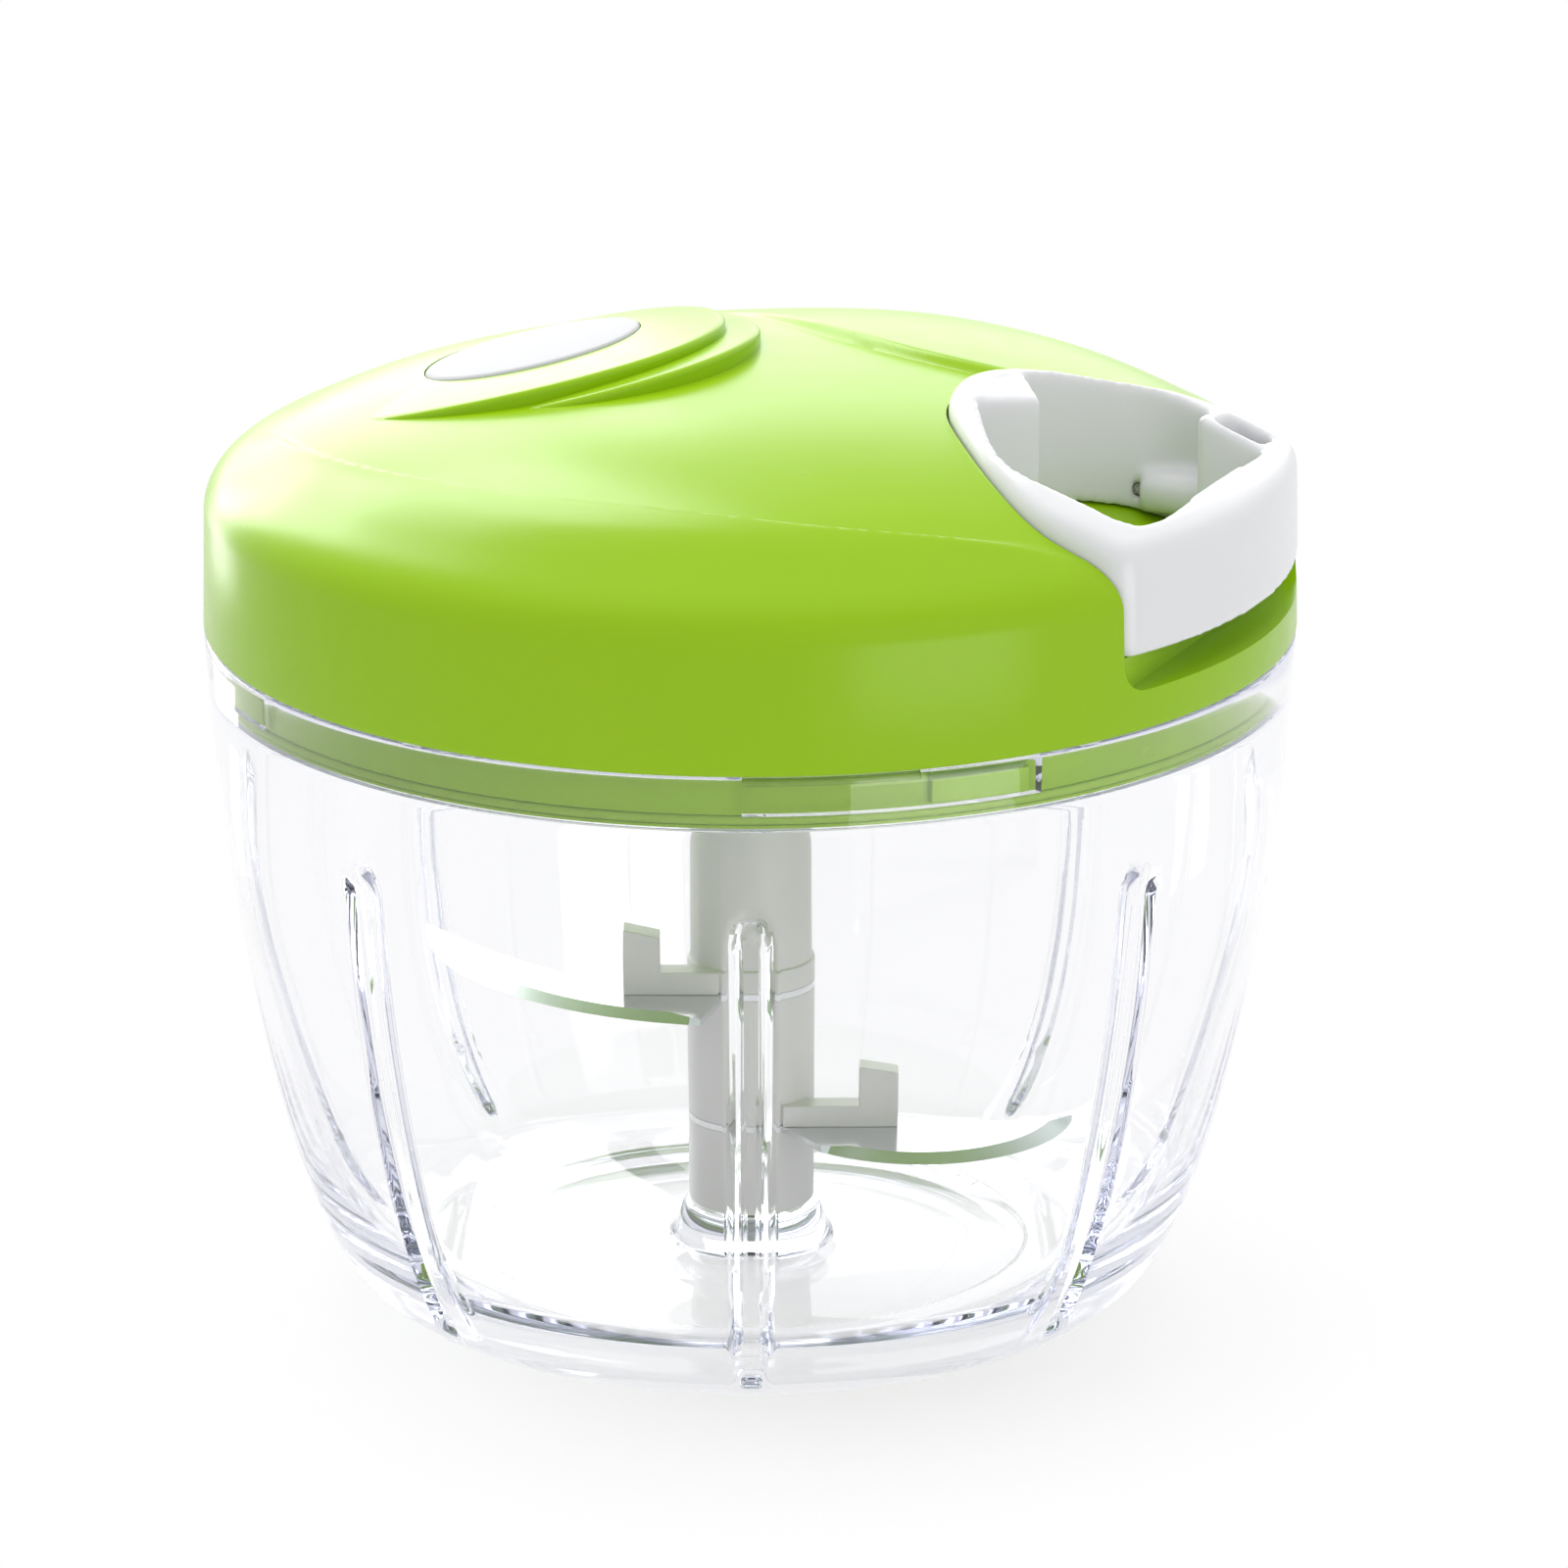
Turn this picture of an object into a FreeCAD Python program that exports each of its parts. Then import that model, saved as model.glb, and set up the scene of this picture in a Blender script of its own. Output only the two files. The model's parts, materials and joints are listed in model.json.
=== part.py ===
import FreeCAD, Part
import Sketcher
import math
import os
from types import SimpleNamespace

from FreeCAD import Placement, Rotation, Vector

# A pull-string food chopper: a clear fluted bowl, a column with two blades that turns on a pin in
# the bowl's floor, and a domed lid that holds the cord reel, its spring and the one-way clutch.
# Lengths are in millimetres and angles in degrees. The origin is the centre of the bowl's resting
# face, +Z is up, and the handle pulls out along +X.

UP = Vector(0, 0, 1)
TURN_PLANE_NORMAL = Vector(0, -1, 0)
SEAM_TURN = 97.0

# Driving sizes: alias, value.
DRIVING_SIZES = [
    # Bowl
    ("foot_inset", 25.0),
    ("foot_ring_width", 4.4),
    ("foot_recess", 0.8),
    ("heel_inset", 15.55),
    ("heel_level", 3.15),
    ("hip_inset", 12.7),
    ("hip_level", 7.5),
    ("belly_inset", 7.4),
    ("belly_level", 23.5),
    ("chest_inset", 2.7),
    ("chest_level", 48.5),
    ("rim_radius", 62.3),
    ("rim_level", 79.45),
    ("bowl_wall", 2.2),
    ("floor_inset", 0.3),
    ("floor_level", 3.5),
    ("inner_heel_inset", 0.55),
    ("inner_heel_level", 8.9),
    ("band_wall", 2.3),
    ("ledge_width", 1.2),
    ("ledge_drop", 6.25),
    ("pivot_boss_foot_radius", 10.5),
    ("pivot_boss_radius", 8.2),
    ("pivot_boss_level", 7.9),
    ("flute_count", 8),
    ("flute_width", 3.8),
    ("flute_depth", 1.3),
    ("flute_rib_width", 6.2),
    ("flute_rib_height", 1.1),
    ("flute_drop", 10.9),
    ("flute_turn", -65.0),
    # Bayonet between lid and bowl
    ("lug_count", 4),
    ("lug_turn", -41.3),
    ("lug_half_angle", 5.4),
    ("lug_reach", 1.2),
    ("lug_lift", 2.3),
    ("lug_thickness", 2.7),
    ("track_gap", 0.3),
    ("track_side_angle", 1.2),
    ("lock_angle", 18.0),
    # Pivot pin and blade column
    ("pin_radius", 2.0),
    ("pin_foot_level", 2.6),
    ("pin_top_level", 22.0),
    ("pin_bore_gap", 0.06),
    ("thrust_gap", 0.1),
    ("column_radius", 7.35),
    ("neck_radius", 7.0),
    ("neck_rise", 3.6),
    ("column_foot_gap", 0.3),
    ("column_floor", 1.6),
    ("lower_seam_level", 19.0),
    ("upper_seam_level", 36.8),
    ("column_drop", 15.75),
    ("blade_thickness", 0.8),
    ("upper_tip_gap", 16.4),
    ("lower_tip_gap", 12.1),
    ("hex_flats", 8.0),
    ("hex_gap", 0.05),
    ("column_turn", 25.0),
    ("arm_height", 2.8),
    ("arm_depth", 3.4),
    ("arm_face", 7.2),
    ("lower_arm_reach", 17.0),
    ("lower_post_width", 4.5),
    ("lower_post_height", 8.1),
    ("upper_arm_reach", 14.6),
    ("upper_post_width", 4.2),
    ("upper_post_height", 7.9),
    ("post_slant", 0.9),
    # Dog coupling between column and lid
    ("head_radius", 6.6),
    ("head_thickness", 2.4),
    ("dog_inner_radius", 2.6),
    ("dog_half_angle", 28.0),
    ("dog_height", 3.4),
    ("dog_end_gap", 0.3),
    # Lid shell
    ("cover_overhang", 0.05),
    ("cover_draft", 0.4),
    ("cover_gap", 0.3),
    ("cover_wall", 2.0),
    ("wall_height", 13.7),
    ("shoulder_inset", 1.05),
    ("shoulder_rise", 2.85),
    ("temple_inset", 5.55),
    ("temple_rise", 5.95),
    ("brow_inset", 11.95),
    ("brow_rise", 8.8),
    ("crown_inset", 27.95),
    ("crown_rise", 12.95),
    ("apex_rise", 15.15),
    # Raised tiers and badge
    ("tier_centre", 30.0),
    ("tier_half_length", 24.0),
    ("tier_half_width", 26.0),
    ("tier_hinge", 36.0),
    ("tier_tilt", 5.2),
    ("step_centre", 22.0),
    ("step_half_length", 20.5),
    ("step_half_width", 24.0),
    ("step_hinge", 17.0),
    ("step_tilt", 7.6),
    ("badge_centre", 27.5),
    ("badge_half_length", 11.7),
    ("badge_half_width", 14.7),
    ("badge_gap", 0.1),
    ("badge_seat_depth", 0.8),
    ("badge_proud", 0.35),
    # Handle and its seat
    ("handle_tip", 25.6),
    ("handle_flank_share", 0.2838),
    ("handle_flank_slope", 0.51362),
    ("handle_shoulder_share", 0.6463),
    ("handle_shoulder_slope", 0.85214),
    ("handle_side_reach", 13.45),
    ("handle_half_width", 25.7),
    ("handle_corner_radius", 3.5),
    ("handle_lift", 8.45),
    ("slope_heel_reach", 1.5),
    ("handle_foot_slope", 0.33),
    ("handle_crown_rise", 19.75),
    ("handle_crown_radius", 150.0),
    ("handle_edge_round", 2.6),
    ("handle_outer_wall", 3.35),
    ("handle_tip_wall", 3.6),
    ("handle_flank_wall", 2.1),
    ("handle_shoulder_wall", 2.5),
    ("handle_side_wall", 5.3),
    ("hole_corner_radius", 4.0),
    ("nose_length", 6.3),
    ("nose_half_angle", 54.5),
    ("nose_drop", 0.4),
    ("web_thickness", 1.8),
    ("web_edge_reach", 1.0),
    ("seat_gap", 0.35),
    ("seat_wall", 1.5),
    ("seat_floor_gap", 0.2),
    ("grip_height", 4.0),
    ("grip_depth", 5.95),
    ("grip_corner_radius", 3.0),
    ("seat_floor_thickness", 1.4),
    # Lid base
    ("base_gap", 0.2),
    ("base_thickness", 2.0),
    ("skirt_gap", 0.3),
    ("skirt_thickness", 1.9),
    ("skirt_foot_gap", 0.3),
    ("seal_lift", 0.75),
    ("seal_height", 1.0),
    ("seal_depth", 1.0),
    ("seal_gap", 0.05),
    ("bearing_radius", 7.0),
    ("bearing_gap", 0.05),
    ("bearing_wall", 2.6),
    ("bearing_drop", 5.75),
    ("bearing_rise", 4.25),
    ("collar_gap", 0.7),
    ("collar_drop", 13.75),
    # Screws
    ("screw_count", 4),
    ("screw_inset", 9.95),
    ("screw_first_angle", 60.0),
    ("screw_pair_angle", 75.0),
    ("screw_shank_radius", 1.4),
    ("screw_length", 9.0),
    ("screw_end_gap", 0.5),
    ("screw_head_radius", 2.7),
    ("screw_head_height", 1.6),
    ("screw_boss_radius", 3.6),
    # Axle, reel and spring
    ("axle_radius", 3.0),
    ("axle_foot_drop", 0.45),
    ("axle_top_rise", 10.85),
    ("axle_boss_radius", 6.0),
    ("reel_head_gap", 0.8),
    ("axle_gap", 0.05),
    ("washer_radius", 5.4),
    ("washer_thickness", 0.5),
    ("reel_side_gap", 1.75),
    ("reel_flange_thickness", 1.4),
    ("reel_lift", 2.2),
    ("reel_height", 11.7),
    ("cord_radius", 0.9),
    ("cord_turns", 4),
    ("reel_lip", 2.0),
    ("drum_wall", 2.2),
    ("web_lift", 3.8),
    ("reel_web_thickness", 1.8),
    ("reel_hub_radius", 4.0),
    ("spring_cover_thickness", 1.0),
    ("spring_thickness", 0.35),
    ("spring_height", 4.6),
    ("spring_turns", 7.5),
    ("spring_end_gap", 0.25),
    # Clutch
    ("hub_flange_lip", 0.5),
    ("hub_flange_thickness", 1.2),
    ("tooth_count", 12),
    ("tooth_reach", 3.7),
    ("tooth_depth", 1.3),
    ("tooth_top_gap", 0.4),
    ("pawl_side_gap", 1.3),
    ("pawl_lead_angle", 38.0),
    ("pawl_pin_radius", 1.2),
    ("pawl_pin_gap", 0.05),
    ("pawl_eye_radius", 2.4),
    ("pawl_thickness", 3.4),
    ("pawl_gap", 0.3),
    ("pawl_spring_thickness", 0.3),
    ("retainer_gap", 1.1),
    ("retainer_thickness", 1.0),
    # Cord run
    ("cord_lift", 5.8),
    ("cord_gap", 0.3),
    ("knot_depth", 8.95),
    ("knot_radius", 2.3),
    ("pocket_length", 7.0),
    ("pocket_width", 6.2),
    ("pocket_wall", 1.3),
    ("tunnel_radius", 2.6),
    ("eyelet_radius", 2.5),
    ("eyelet_bore_gap", 0.4),
    ("eyelet_length", 3.6),
    ("eyelet_flange_radius", 3.3),
    ("eyelet_flange_thickness", 0.6),
    ("eyelet_reach", 5.4),
    ("eyelet_block_half_width", 3.6),
]

# Sizes that follow from the driving ones: alias, formula.
FITTED_SIZES = [
    ("foot_radius", "rim_radius - foot_inset"),
    ("heel_radius", "rim_radius - heel_inset"),
    ("hip_radius", "rim_radius - hip_inset"),
    ("belly_radius", "rim_radius - belly_inset"),
    ("chest_radius", "rim_radius - chest_inset"),
    ("floor_radius", "foot_radius - floor_inset"),
    ("inner_heel_radius", "heel_radius - inner_heel_inset"),
    ("upper_blade_reach", "belly_radius - upper_tip_gap"),
    ("lower_blade_reach", "hip_radius - lower_tip_gap"),
    ("band_inner_radius", "rim_radius - band_wall"),
    ("ledge_inner_radius", "band_inner_radius - ledge_width"),
    ("ledge_level", "rim_level - ledge_drop"),
    ("flute_top_level", "ledge_level - flute_drop"),
    ("lug_level", "ledge_level + lug_lift"),
    ("neck_level", "upper_seam_level + neck_rise"),
    ("column_top_level", "rim_level + cover_gap - column_drop"),
    ("cover_foot_radius", "rim_radius + cover_overhang"),
    ("cover_radius", "cover_foot_radius - cover_draft"),
    ("wall_top_level", "rim_level + cover_gap + wall_height"),
    ("shoulder_radius", "cover_radius - shoulder_inset"),
    ("shoulder_level", "wall_top_level + shoulder_rise"),
    ("temple_radius", "cover_radius - temple_inset"),
    ("temple_level", "wall_top_level + temple_rise"),
    ("brow_radius", "cover_radius - brow_inset"),
    ("brow_level", "wall_top_level + brow_rise"),
    ("crown_radius", "cover_radius - crown_inset"),
    ("crown_level", "wall_top_level + crown_rise"),
    ("apex_level", "wall_top_level + apex_rise"),
    ("handle_side_x", "cover_radius - handle_side_reach"),
    ("handle_flank_x", "handle_tip + handle_flank_share * (handle_side_x - handle_tip)"),
    ("handle_shoulder_x", "handle_tip + handle_shoulder_share * (handle_side_x - handle_tip)"),
    ("handle_flank_y", "handle_flank_slope * handle_half_width"),
    ("handle_shoulder_y", "handle_shoulder_slope * handle_half_width"),
    ("handle_foot_level", "rim_level + cover_gap + handle_lift"),
    ("handle_slope_heel_x", "handle_side_x + slope_heel_reach"),
    ("handle_crown_level", "wall_top_level + handle_crown_rise"),
    ("web_edge_x", "handle_side_x - web_edge_reach"),
    ("grip_floor_level", "handle_foot_level - grip_height"),
    ("grip_floor_radius", "cover_radius - grip_depth"),
    ("seal_level", "ledge_level + seal_lift"),
    ("bearing_foot_level", "rim_level + cover_gap - bearing_drop"),
    ("bearing_top_level", "rim_level + cover_gap + bearing_rise"),
    ("collar_foot_level", "rim_level + cover_gap - collar_drop"),
    ("screw_circle_radius", "cover_radius - screw_inset"),
    ("axle_foot_level", "rim_level + cover_gap - axle_foot_drop"),
    ("axle_top_level", "wall_top_level + axle_top_rise"),
    ("reel_flange_radius", "handle_tip - seat_gap - seat_wall - reel_side_gap"),
    ("winding_radius", "reel_flange_radius - reel_lip"),
    ("drum_inner_radius", "winding_radius - cord_radius - drum_wall"),
    ("reel_foot_level", "bearing_top_level + reel_lift"),
    ("reel_top_level", "reel_foot_level + reel_height"),
    ("axle_boss_level", "reel_top_level + spring_cover_thickness + reel_head_gap"),
    ("web_level", "reel_foot_level + web_lift"),
    ("pawl_circle_radius", "drum_inner_radius - pawl_eye_radius - pawl_side_gap"),
    ("tooth_tip_radius", "pawl_circle_radius - tooth_reach"),
    ("tooth_root_radius", "tooth_tip_radius - tooth_depth"),
    ("hub_flange_radius", "tooth_tip_radius + hub_flange_lip"),
    ("retainer_inner_radius", "tooth_tip_radius + retainer_gap"),
    ("tooth_top_level", "web_level - tooth_top_gap"),
    ("cord_level", "handle_foot_level + cord_lift"),
    ("knot_x", "cover_radius - knot_depth"),
    ("eyelet_face_x", "handle_tip + eyelet_reach"),
]


class Size:
    """A number that also carries the sheet formula it comes from."""

    def __init__(self, value, formula):
        self.value = float(value)
        self.formula = formula

    def _join(self, other, sign, result):
        return Size(result, "(" + self.formula + " " + sign + " " + as_size(other).formula + ")")

    def __add__(self, other):
        return self._join(other, "+", self.value + as_size(other).value)

    def __radd__(self, other):
        return as_size(other) + self

    def __sub__(self, other):
        return self._join(other, "-", self.value - as_size(other).value)

    def __rsub__(self, other):
        return as_size(other) - self

    def __mul__(self, other):
        return self._join(other, "*", self.value * as_size(other).value)

    def __rmul__(self, other):
        return as_size(other) * self

    def __truediv__(self, other):
        return self._join(other, "/", self.value / as_size(other).value)

    def __neg__(self):
        return Size(-self.value, "(0 - " + self.formula + ")")


def as_size(thing):
    """A plain number as a Size; a Size as it is."""
    if isinstance(thing, Size):
        return thing
    return Size(thing, format(float(thing), ".9f"))


def cosine(angle):
    """The cosine of an angle in degrees."""
    angle = as_size(angle)
    return Size(math.cos(math.radians(angle.value)), "cos(" + angle.formula + ")")


def sine(angle):
    """The sine of an angle in degrees."""
    angle = as_size(angle)
    return Size(math.sin(math.radians(angle.value)), "sin(" + angle.formula + ")")


def polar(radius, angle):
    """The two coordinates of a point at a radius and an angle."""
    return radius * cosine(angle), radius * sine(angle)


doc = FreeCAD.newDocument("FoodChopper")
sheet = doc.addObject("Spreadsheet::Sheet", "Sizes")
for row, (alias, value) in enumerate(DRIVING_SIZES + FITTED_SIZES, start=1):
    sheet.set("A" + str(row), alias)
    sheet.set("B" + str(row), "=" + str(value))
    sheet.setAlias("B" + str(row), alias)
doc.recompute()

NAMES = [alias for alias, value in DRIVING_SIZES + FITTED_SIZES]
d = SimpleNamespace(**{alias: Size(sheet.get(alias), "Sizes." + alias) for alias in NAMES})
n = SimpleNamespace(**{alias: float(sheet.get(alias)) for alias in NAMES})

pieces = []


def bind(item, name, size):
    """Ties one property to its formula."""
    item.setExpression(name, as_size(size).formula)


def keep(item, label):
    """Names an object as one sub-part."""
    item.Label = label
    pieces.append(item)
    return item


def new_body(label, turn=0.0):
    """A body that becomes one sub-part, turned about Z."""
    body = keep(doc.addObject("PartDesign::Body", label), label)
    body.Placement = Placement(Vector(), Rotation(UP, as_size(turn).value))
    if isinstance(turn, Size):
        body.setExpression("Placement.Rotation.Angle", turn.formula)
    return body


def origin_plane(body, role):
    """One of a body's own origin planes."""
    return [plane for plane in body.Origin.OriginFeatures if plane.Role == role][0]


def new_sketch(body, name, role, level=None):
    """An empty sketch on an origin plane, lifted to a level."""
    sketch = body.newObject("Sketcher::SketchObject", name)
    sketch.AttachmentSupport = [(origin_plane(body, role), "")]
    sketch.MapMode = "FlatFace"
    if level is not None:
        level = as_size(level)
        sketch.AttachmentOffset = Placement(Vector(0, 0, level.value), Rotation())
        bind(sketch, "AttachmentOffset.Base.z", level)
    return sketch


def pin_point(sketch, edge, end, x, y):
    """Fixes one end of a sketch edge at a pair of sizes from the origin."""
    for kind, axis, size in (("DistanceX", -2, as_size(x)), ("DistanceY", -1, as_size(y))):
        if size.value == 0:
            sketch.addConstraint(sketch_constraint("PointOnObject", edge, end, axis))
            continue
        number = sketch.addConstraint(sketch_constraint(kind, -1, 1, edge, end, size.value))
        bind(sketch, "Constraints[" + str(number) + "]", size)


def sketch_constraint(*arguments):
    """One sketch constraint."""
    return Sketcher.Constraint(*arguments)


def add_outline(sketch, corners):
    """A closed outline of straight runs in a sketch."""
    first = sketch.GeometryCount
    count = len(corners)
    points = [Vector(as_size(x).value, as_size(y).value, 0) for x, y in corners]
    for index in range(count):
        run = Part.LineSegment(points[index], points[(index + 1) % count])
        sketch.addGeometry(run, False)
    for index in range(count):
        after = first + (index + 1) % count
        sketch.addConstraint(sketch_constraint("Coincident", first + index, 2, after, 1))
    for index, (x, y) in enumerate(corners):
        pin_point(sketch, first + index, 1, x, y)


def add_circle(sketch, x, y, radius):
    """A circle in a sketch."""
    centre = Vector(as_size(x).value, as_size(y).value, 0)
    edge = sketch.addGeometry(Part.Circle(centre, UP, as_size(radius).value), False)
    pin_point(sketch, edge, 3, x, y)
    number = sketch.addConstraint(sketch_constraint("Radius", edge, as_size(radius).value))
    bind(sketch, "Constraints[" + str(number) + "]", radius)


def add_sector(sketch, inner, outer, middle, half_angle):
    """A piece of a ring, between two radii, about a middle angle."""
    start = middle - half_angle
    stop = middle + half_angle
    arcs = []
    for radius in (inner, outer):
        circle = Part.Circle(Vector(), UP, radius.value)
        arc = Part.ArcOfCircle(circle, math.radians(start.value), math.radians(stop.value))
        edge = sketch.addGeometry(arc, False)
        sketch.addConstraint(sketch_constraint("Coincident", edge, 3, -1, 1))
        number = sketch.addConstraint(sketch_constraint("Radius", edge, radius.value))
        bind(sketch, "Constraints[" + str(number) + "]", radius)
        arcs.append(edge)
    for end, angle in ((1, start), (2, stop)):
        near = [size.value for size in polar(inner, angle)]
        far = [size.value for size in polar(outer, angle)]
        side = sketch.addGeometry(Part.LineSegment(Vector(*near, 0), Vector(*far, 0)), False)
        sketch.addConstraint(sketch_constraint("Coincident", side, 1, arcs[0], end))
        sketch.addConstraint(sketch_constraint("Coincident", side, 2, arcs[1], end))
        for edge, radius in zip(arcs, (inner, outer)):
            x, y = polar(radius, angle)
            kind, size = ("DistanceY", y) if abs(x.value) > abs(y.value) else ("DistanceX", x)
            number = sketch.addConstraint(sketch_constraint(kind, -1, 1, edge, end, size.value))
            bind(sketch, "Constraints[" + str(number) + "]", size)


def add_turning(body, name, corners, kind="Revolution"):
    """Turns a closed outline of radius and level pairs about Z."""
    sketch = new_sketch(body, name + "_outline", "XZ_Plane")
    add_outline(sketch, corners)
    feature = body.newObject("PartDesign::" + kind, name)
    feature.Profile = sketch
    feature.ReferenceAxis = (sketch, ["V_Axis"])
    feature.Angle = 360
    return feature


def add_pad(body, name, sketch, height):
    """Raises a sketch by a height."""
    feature = body.newObject("PartDesign::Pad", name)
    feature.Profile = sketch
    bind(feature, "Length", height)
    return feature


def add_pocket(body, name, sketch, depth):
    """Cuts a sketch upwards by a depth, from the level it lies on."""
    feature = body.newObject("PartDesign::Pocket", name)
    feature.Profile = sketch
    feature.Reversed = True
    bind(feature, "Length", depth)
    return feature


def add_polar(body, name, feature, sketch, count):
    """Repeats a feature evenly about Z."""
    pattern = body.newObject("PartDesign::PolarPattern", name)
    pattern.Originals = [feature]
    pattern.Axis = (sketch, ["N_Axis"])
    pattern.Angle = 360
    bind(pattern, "Occurrences", count)
    body.Tip = pattern
    return pattern


def hexagon(flats):
    """The six corners of a hexagon, from its width across flats."""
    corner = flats / math.sqrt(3)
    return [polar(corner, 60.0 * step + 30.0) for step in range(6)]


def set_feature(label, shape, place=None):
    """A sub-part whose shape is worked out here, set down at its place."""
    item = keep(doc.addObject("Part::Feature", label), label)
    item.Shape = shape
    item.Placement = place or Placement()
    return item


def turned_to(angle, level=0):
    """The place that lifts a piece to a level and turns it about Z."""
    return Placement(rz(0, level), Rotation(UP, angle))


def spline(points, start=None, end=None):
    """A smooth curve through points, with a direction at each end."""
    curve = Part.BSplineCurve()
    if start is None:
        curve.interpolate(points)
    else:
        curve.interpolate(points, InitialTangent=Vector(start).normalize(),
                          FinalTangent=Vector(end).normalize(), Scale=False)
    return curve


def inset_points(points, start, end, inset):
    """The points of a curve in the turning plane, moved square to it towards the axis."""
    curve = spline(points, start, end)
    moved = []
    for point in points:
        direction = curve.tangent(curve.parameter(point))[0]
        side = TURN_PLANE_NORMAL.cross(direction).normalize()
        moved.append(point + side * inset)
    return moved


def turned_solid(edges):
    """The full turn about Z of a closed outline in the XZ plane, its seam clear of all cuts."""
    solid = Part.Face(Part.Wire(Part.__sortEdges__(edges))).revolve(Vector(), UP, 360)
    solid.rotate(Vector(), UP, SEAM_TURN)
    return solid


def line(a, b):
    """A straight edge."""
    return Part.LineSegment(a, b).toShape()


def rz(radius, level):
    """A point of the turning plane."""
    return Vector(radius, 0, level)


def ring_sector(inner, outer, low, high, start, stop):
    """A piece of a ring between two angles."""
    sweep = stop - start
    disc = Part.makeCylinder(outer, high - low, Vector(0, 0, low), UP, sweep)
    core = Part.makeCylinder(inner, high - low, Vector(0, 0, low), UP, 360)
    piece = disc.cut(core)
    piece.rotate(Vector(), UP, start)
    return piece


def box(low, high):
    """A box between two corners."""
    size = high - low
    return Part.makeBox(size.x, size.y, size.z, low)


# Bowl

BOWL_OUTER = [
    rz(n.foot_radius, 0),
    rz(n.heel_radius, n.heel_level),
    rz(n.hip_radius, n.hip_level),
    rz(n.belly_radius, n.belly_level),
    rz(n.chest_radius, n.chest_level),
    rz(n.rim_radius, n.rim_level),
]
BOWL_OUTER_START = Vector(1, 0, 0.1)
BOWL_OUTER_END = Vector(0.04, 0, 1)
BOWL_INNER = [
    rz(n.floor_radius, n.floor_level),
    rz(n.inner_heel_radius, n.inner_heel_level),
    rz(n.belly_radius - n.bowl_wall, n.belly_level),
    rz(n.chest_radius - n.bowl_wall, n.chest_level),
    rz(n.ledge_inner_radius, n.ledge_level),
]
BOWL_INNER_START = Vector(1, 0, 0.05)
BOWL_INNER_END = Vector(0.05, 0, 1)


def filled_turning(points, start, end, inset):
    """Everything inside a bowl curve, up to the curve's top."""
    moved = inset_points(points, start, end, inset)
    low, high = moved[0], moved[-1]
    return turned_solid([
        spline(moved, start, end).toShape(),
        line(high, rz(0, high.z)),
        line(rz(0, high.z), rz(0, low.z)),
        line(rz(0, low.z), low),
    ])


def flute_cutters(points, start, end, inset, width, first_radius):
    """Round-topped upright slots, as deep as the inset below a bowl curve, one for each flute."""
    reach = n.rim_radius
    straight_top = n.flute_top_level - n.flute_width / 2
    slab = box(Vector(first_radius, -width / 2, -1), Vector(reach, width / 2, straight_top))
    crest = Part.makeCylinder(width / 2, reach - first_radius, Vector(first_radius, 0, straight_top),
                              Vector(1, 0, 0))
    slot = slab.fuse(crest).removeSplitter().cut(filled_turning(points, start, end, inset))
    cutters = []
    for step in range(int(n.flute_count)):
        cutter = slot.copy()
        cutter.rotate(Vector(), UP, n.flute_turn + 360.0 * step / n.flute_count)
        cutters.append(cutter)
    return cutters


def rim_space():
    """The round space inside the rim band with the bayonet's entries and lock tracks."""
    half = n.lug_half_angle + n.track_side_angle
    low = n.lug_level - n.track_gap
    top = n.lug_level + n.lug_thickness + n.track_gap
    radius = n.band_inner_radius - n.skirt_gap + n.lug_reach + n.track_gap
    tracks = []
    for step in range(int(n.lug_count)):
        middle = n.lug_turn + 360.0 * step / n.lug_count
        tracks.append(ring_sector(n.ledge_inner_radius, radius, low, n.rim_level + 1,
                                  middle - half, middle + half))
        tracks.append(ring_sector(n.ledge_inner_radius, radius, low, top,
                                  middle - half - n.lock_angle, middle + half))
    band = Part.makeCylinder(n.band_inner_radius, n.rim_level, rz(0, n.ledge_level))
    return band.fuse(tracks)


def make_bowl():
    """The clear bowl: wall, foot, flutes, rim band, bayonet tracks and pivot boss."""
    boss = Part.makeCone(n.pivot_boss_foot_radius, n.pivot_boss_radius,
                         n.pivot_boss_level - n.floor_level, rz(0, n.floor_level))
    ribs = flute_cutters(BOWL_INNER, BOWL_INNER_START, BOWL_INNER_END, n.flute_rib_height,
                         n.flute_rib_width, n.floor_radius - n.flute_rib_height)
    inside = filled_turning(BOWL_INNER, BOWL_INNER_START, BOWL_INNER_END, 0).cut(ribs + [boss])
    recess = Part.makeCylinder(n.foot_radius - n.foot_ring_width, n.foot_recess + 1, rz(0, -1))
    pin_bore = Part.makeCylinder(n.pin_radius, n.pivot_boss_level, rz(0, n.pin_foot_level))
    grooves = flute_cutters(BOWL_OUTER, BOWL_OUTER_START, BOWL_OUTER_END, n.flute_depth,
                            n.flute_width, n.foot_radius + n.flute_depth)
    outside = filled_turning(BOWL_OUTER, BOWL_OUTER_START, BOWL_OUTER_END, 0)
    return outside.cut(grooves + [inside, recess, pin_bore, rim_space()])


set_feature("bowl", make_bowl())


# Pivot pin in the bowl floor

pivot_pin = new_body("bowl_pivot_pin")
pin_point_radius = d.pin_radius - 0.6
add_turning(pivot_pin, "pin", [
    (0, d.pin_foot_level),
    (d.pin_radius, d.pin_foot_level),
    (d.pin_radius, d.pin_top_level - 0.6),
    (pin_point_radius, d.pin_top_level),
    (0, d.pin_top_level),
])


# Blade column: shaft, sleeves and blades

head_level = d.column_top_level
head_top = head_level + d.head_thickness
dog_top = head_top + d.dog_height
column_foot = d.pivot_boss_level + d.column_foot_gap
shaft_foot = column_foot + d.column_floor
shaft_bore_radius = d.pin_radius + d.pin_bore_gap
shaft_bore_top = d.pin_top_level + d.thrust_gap


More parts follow.
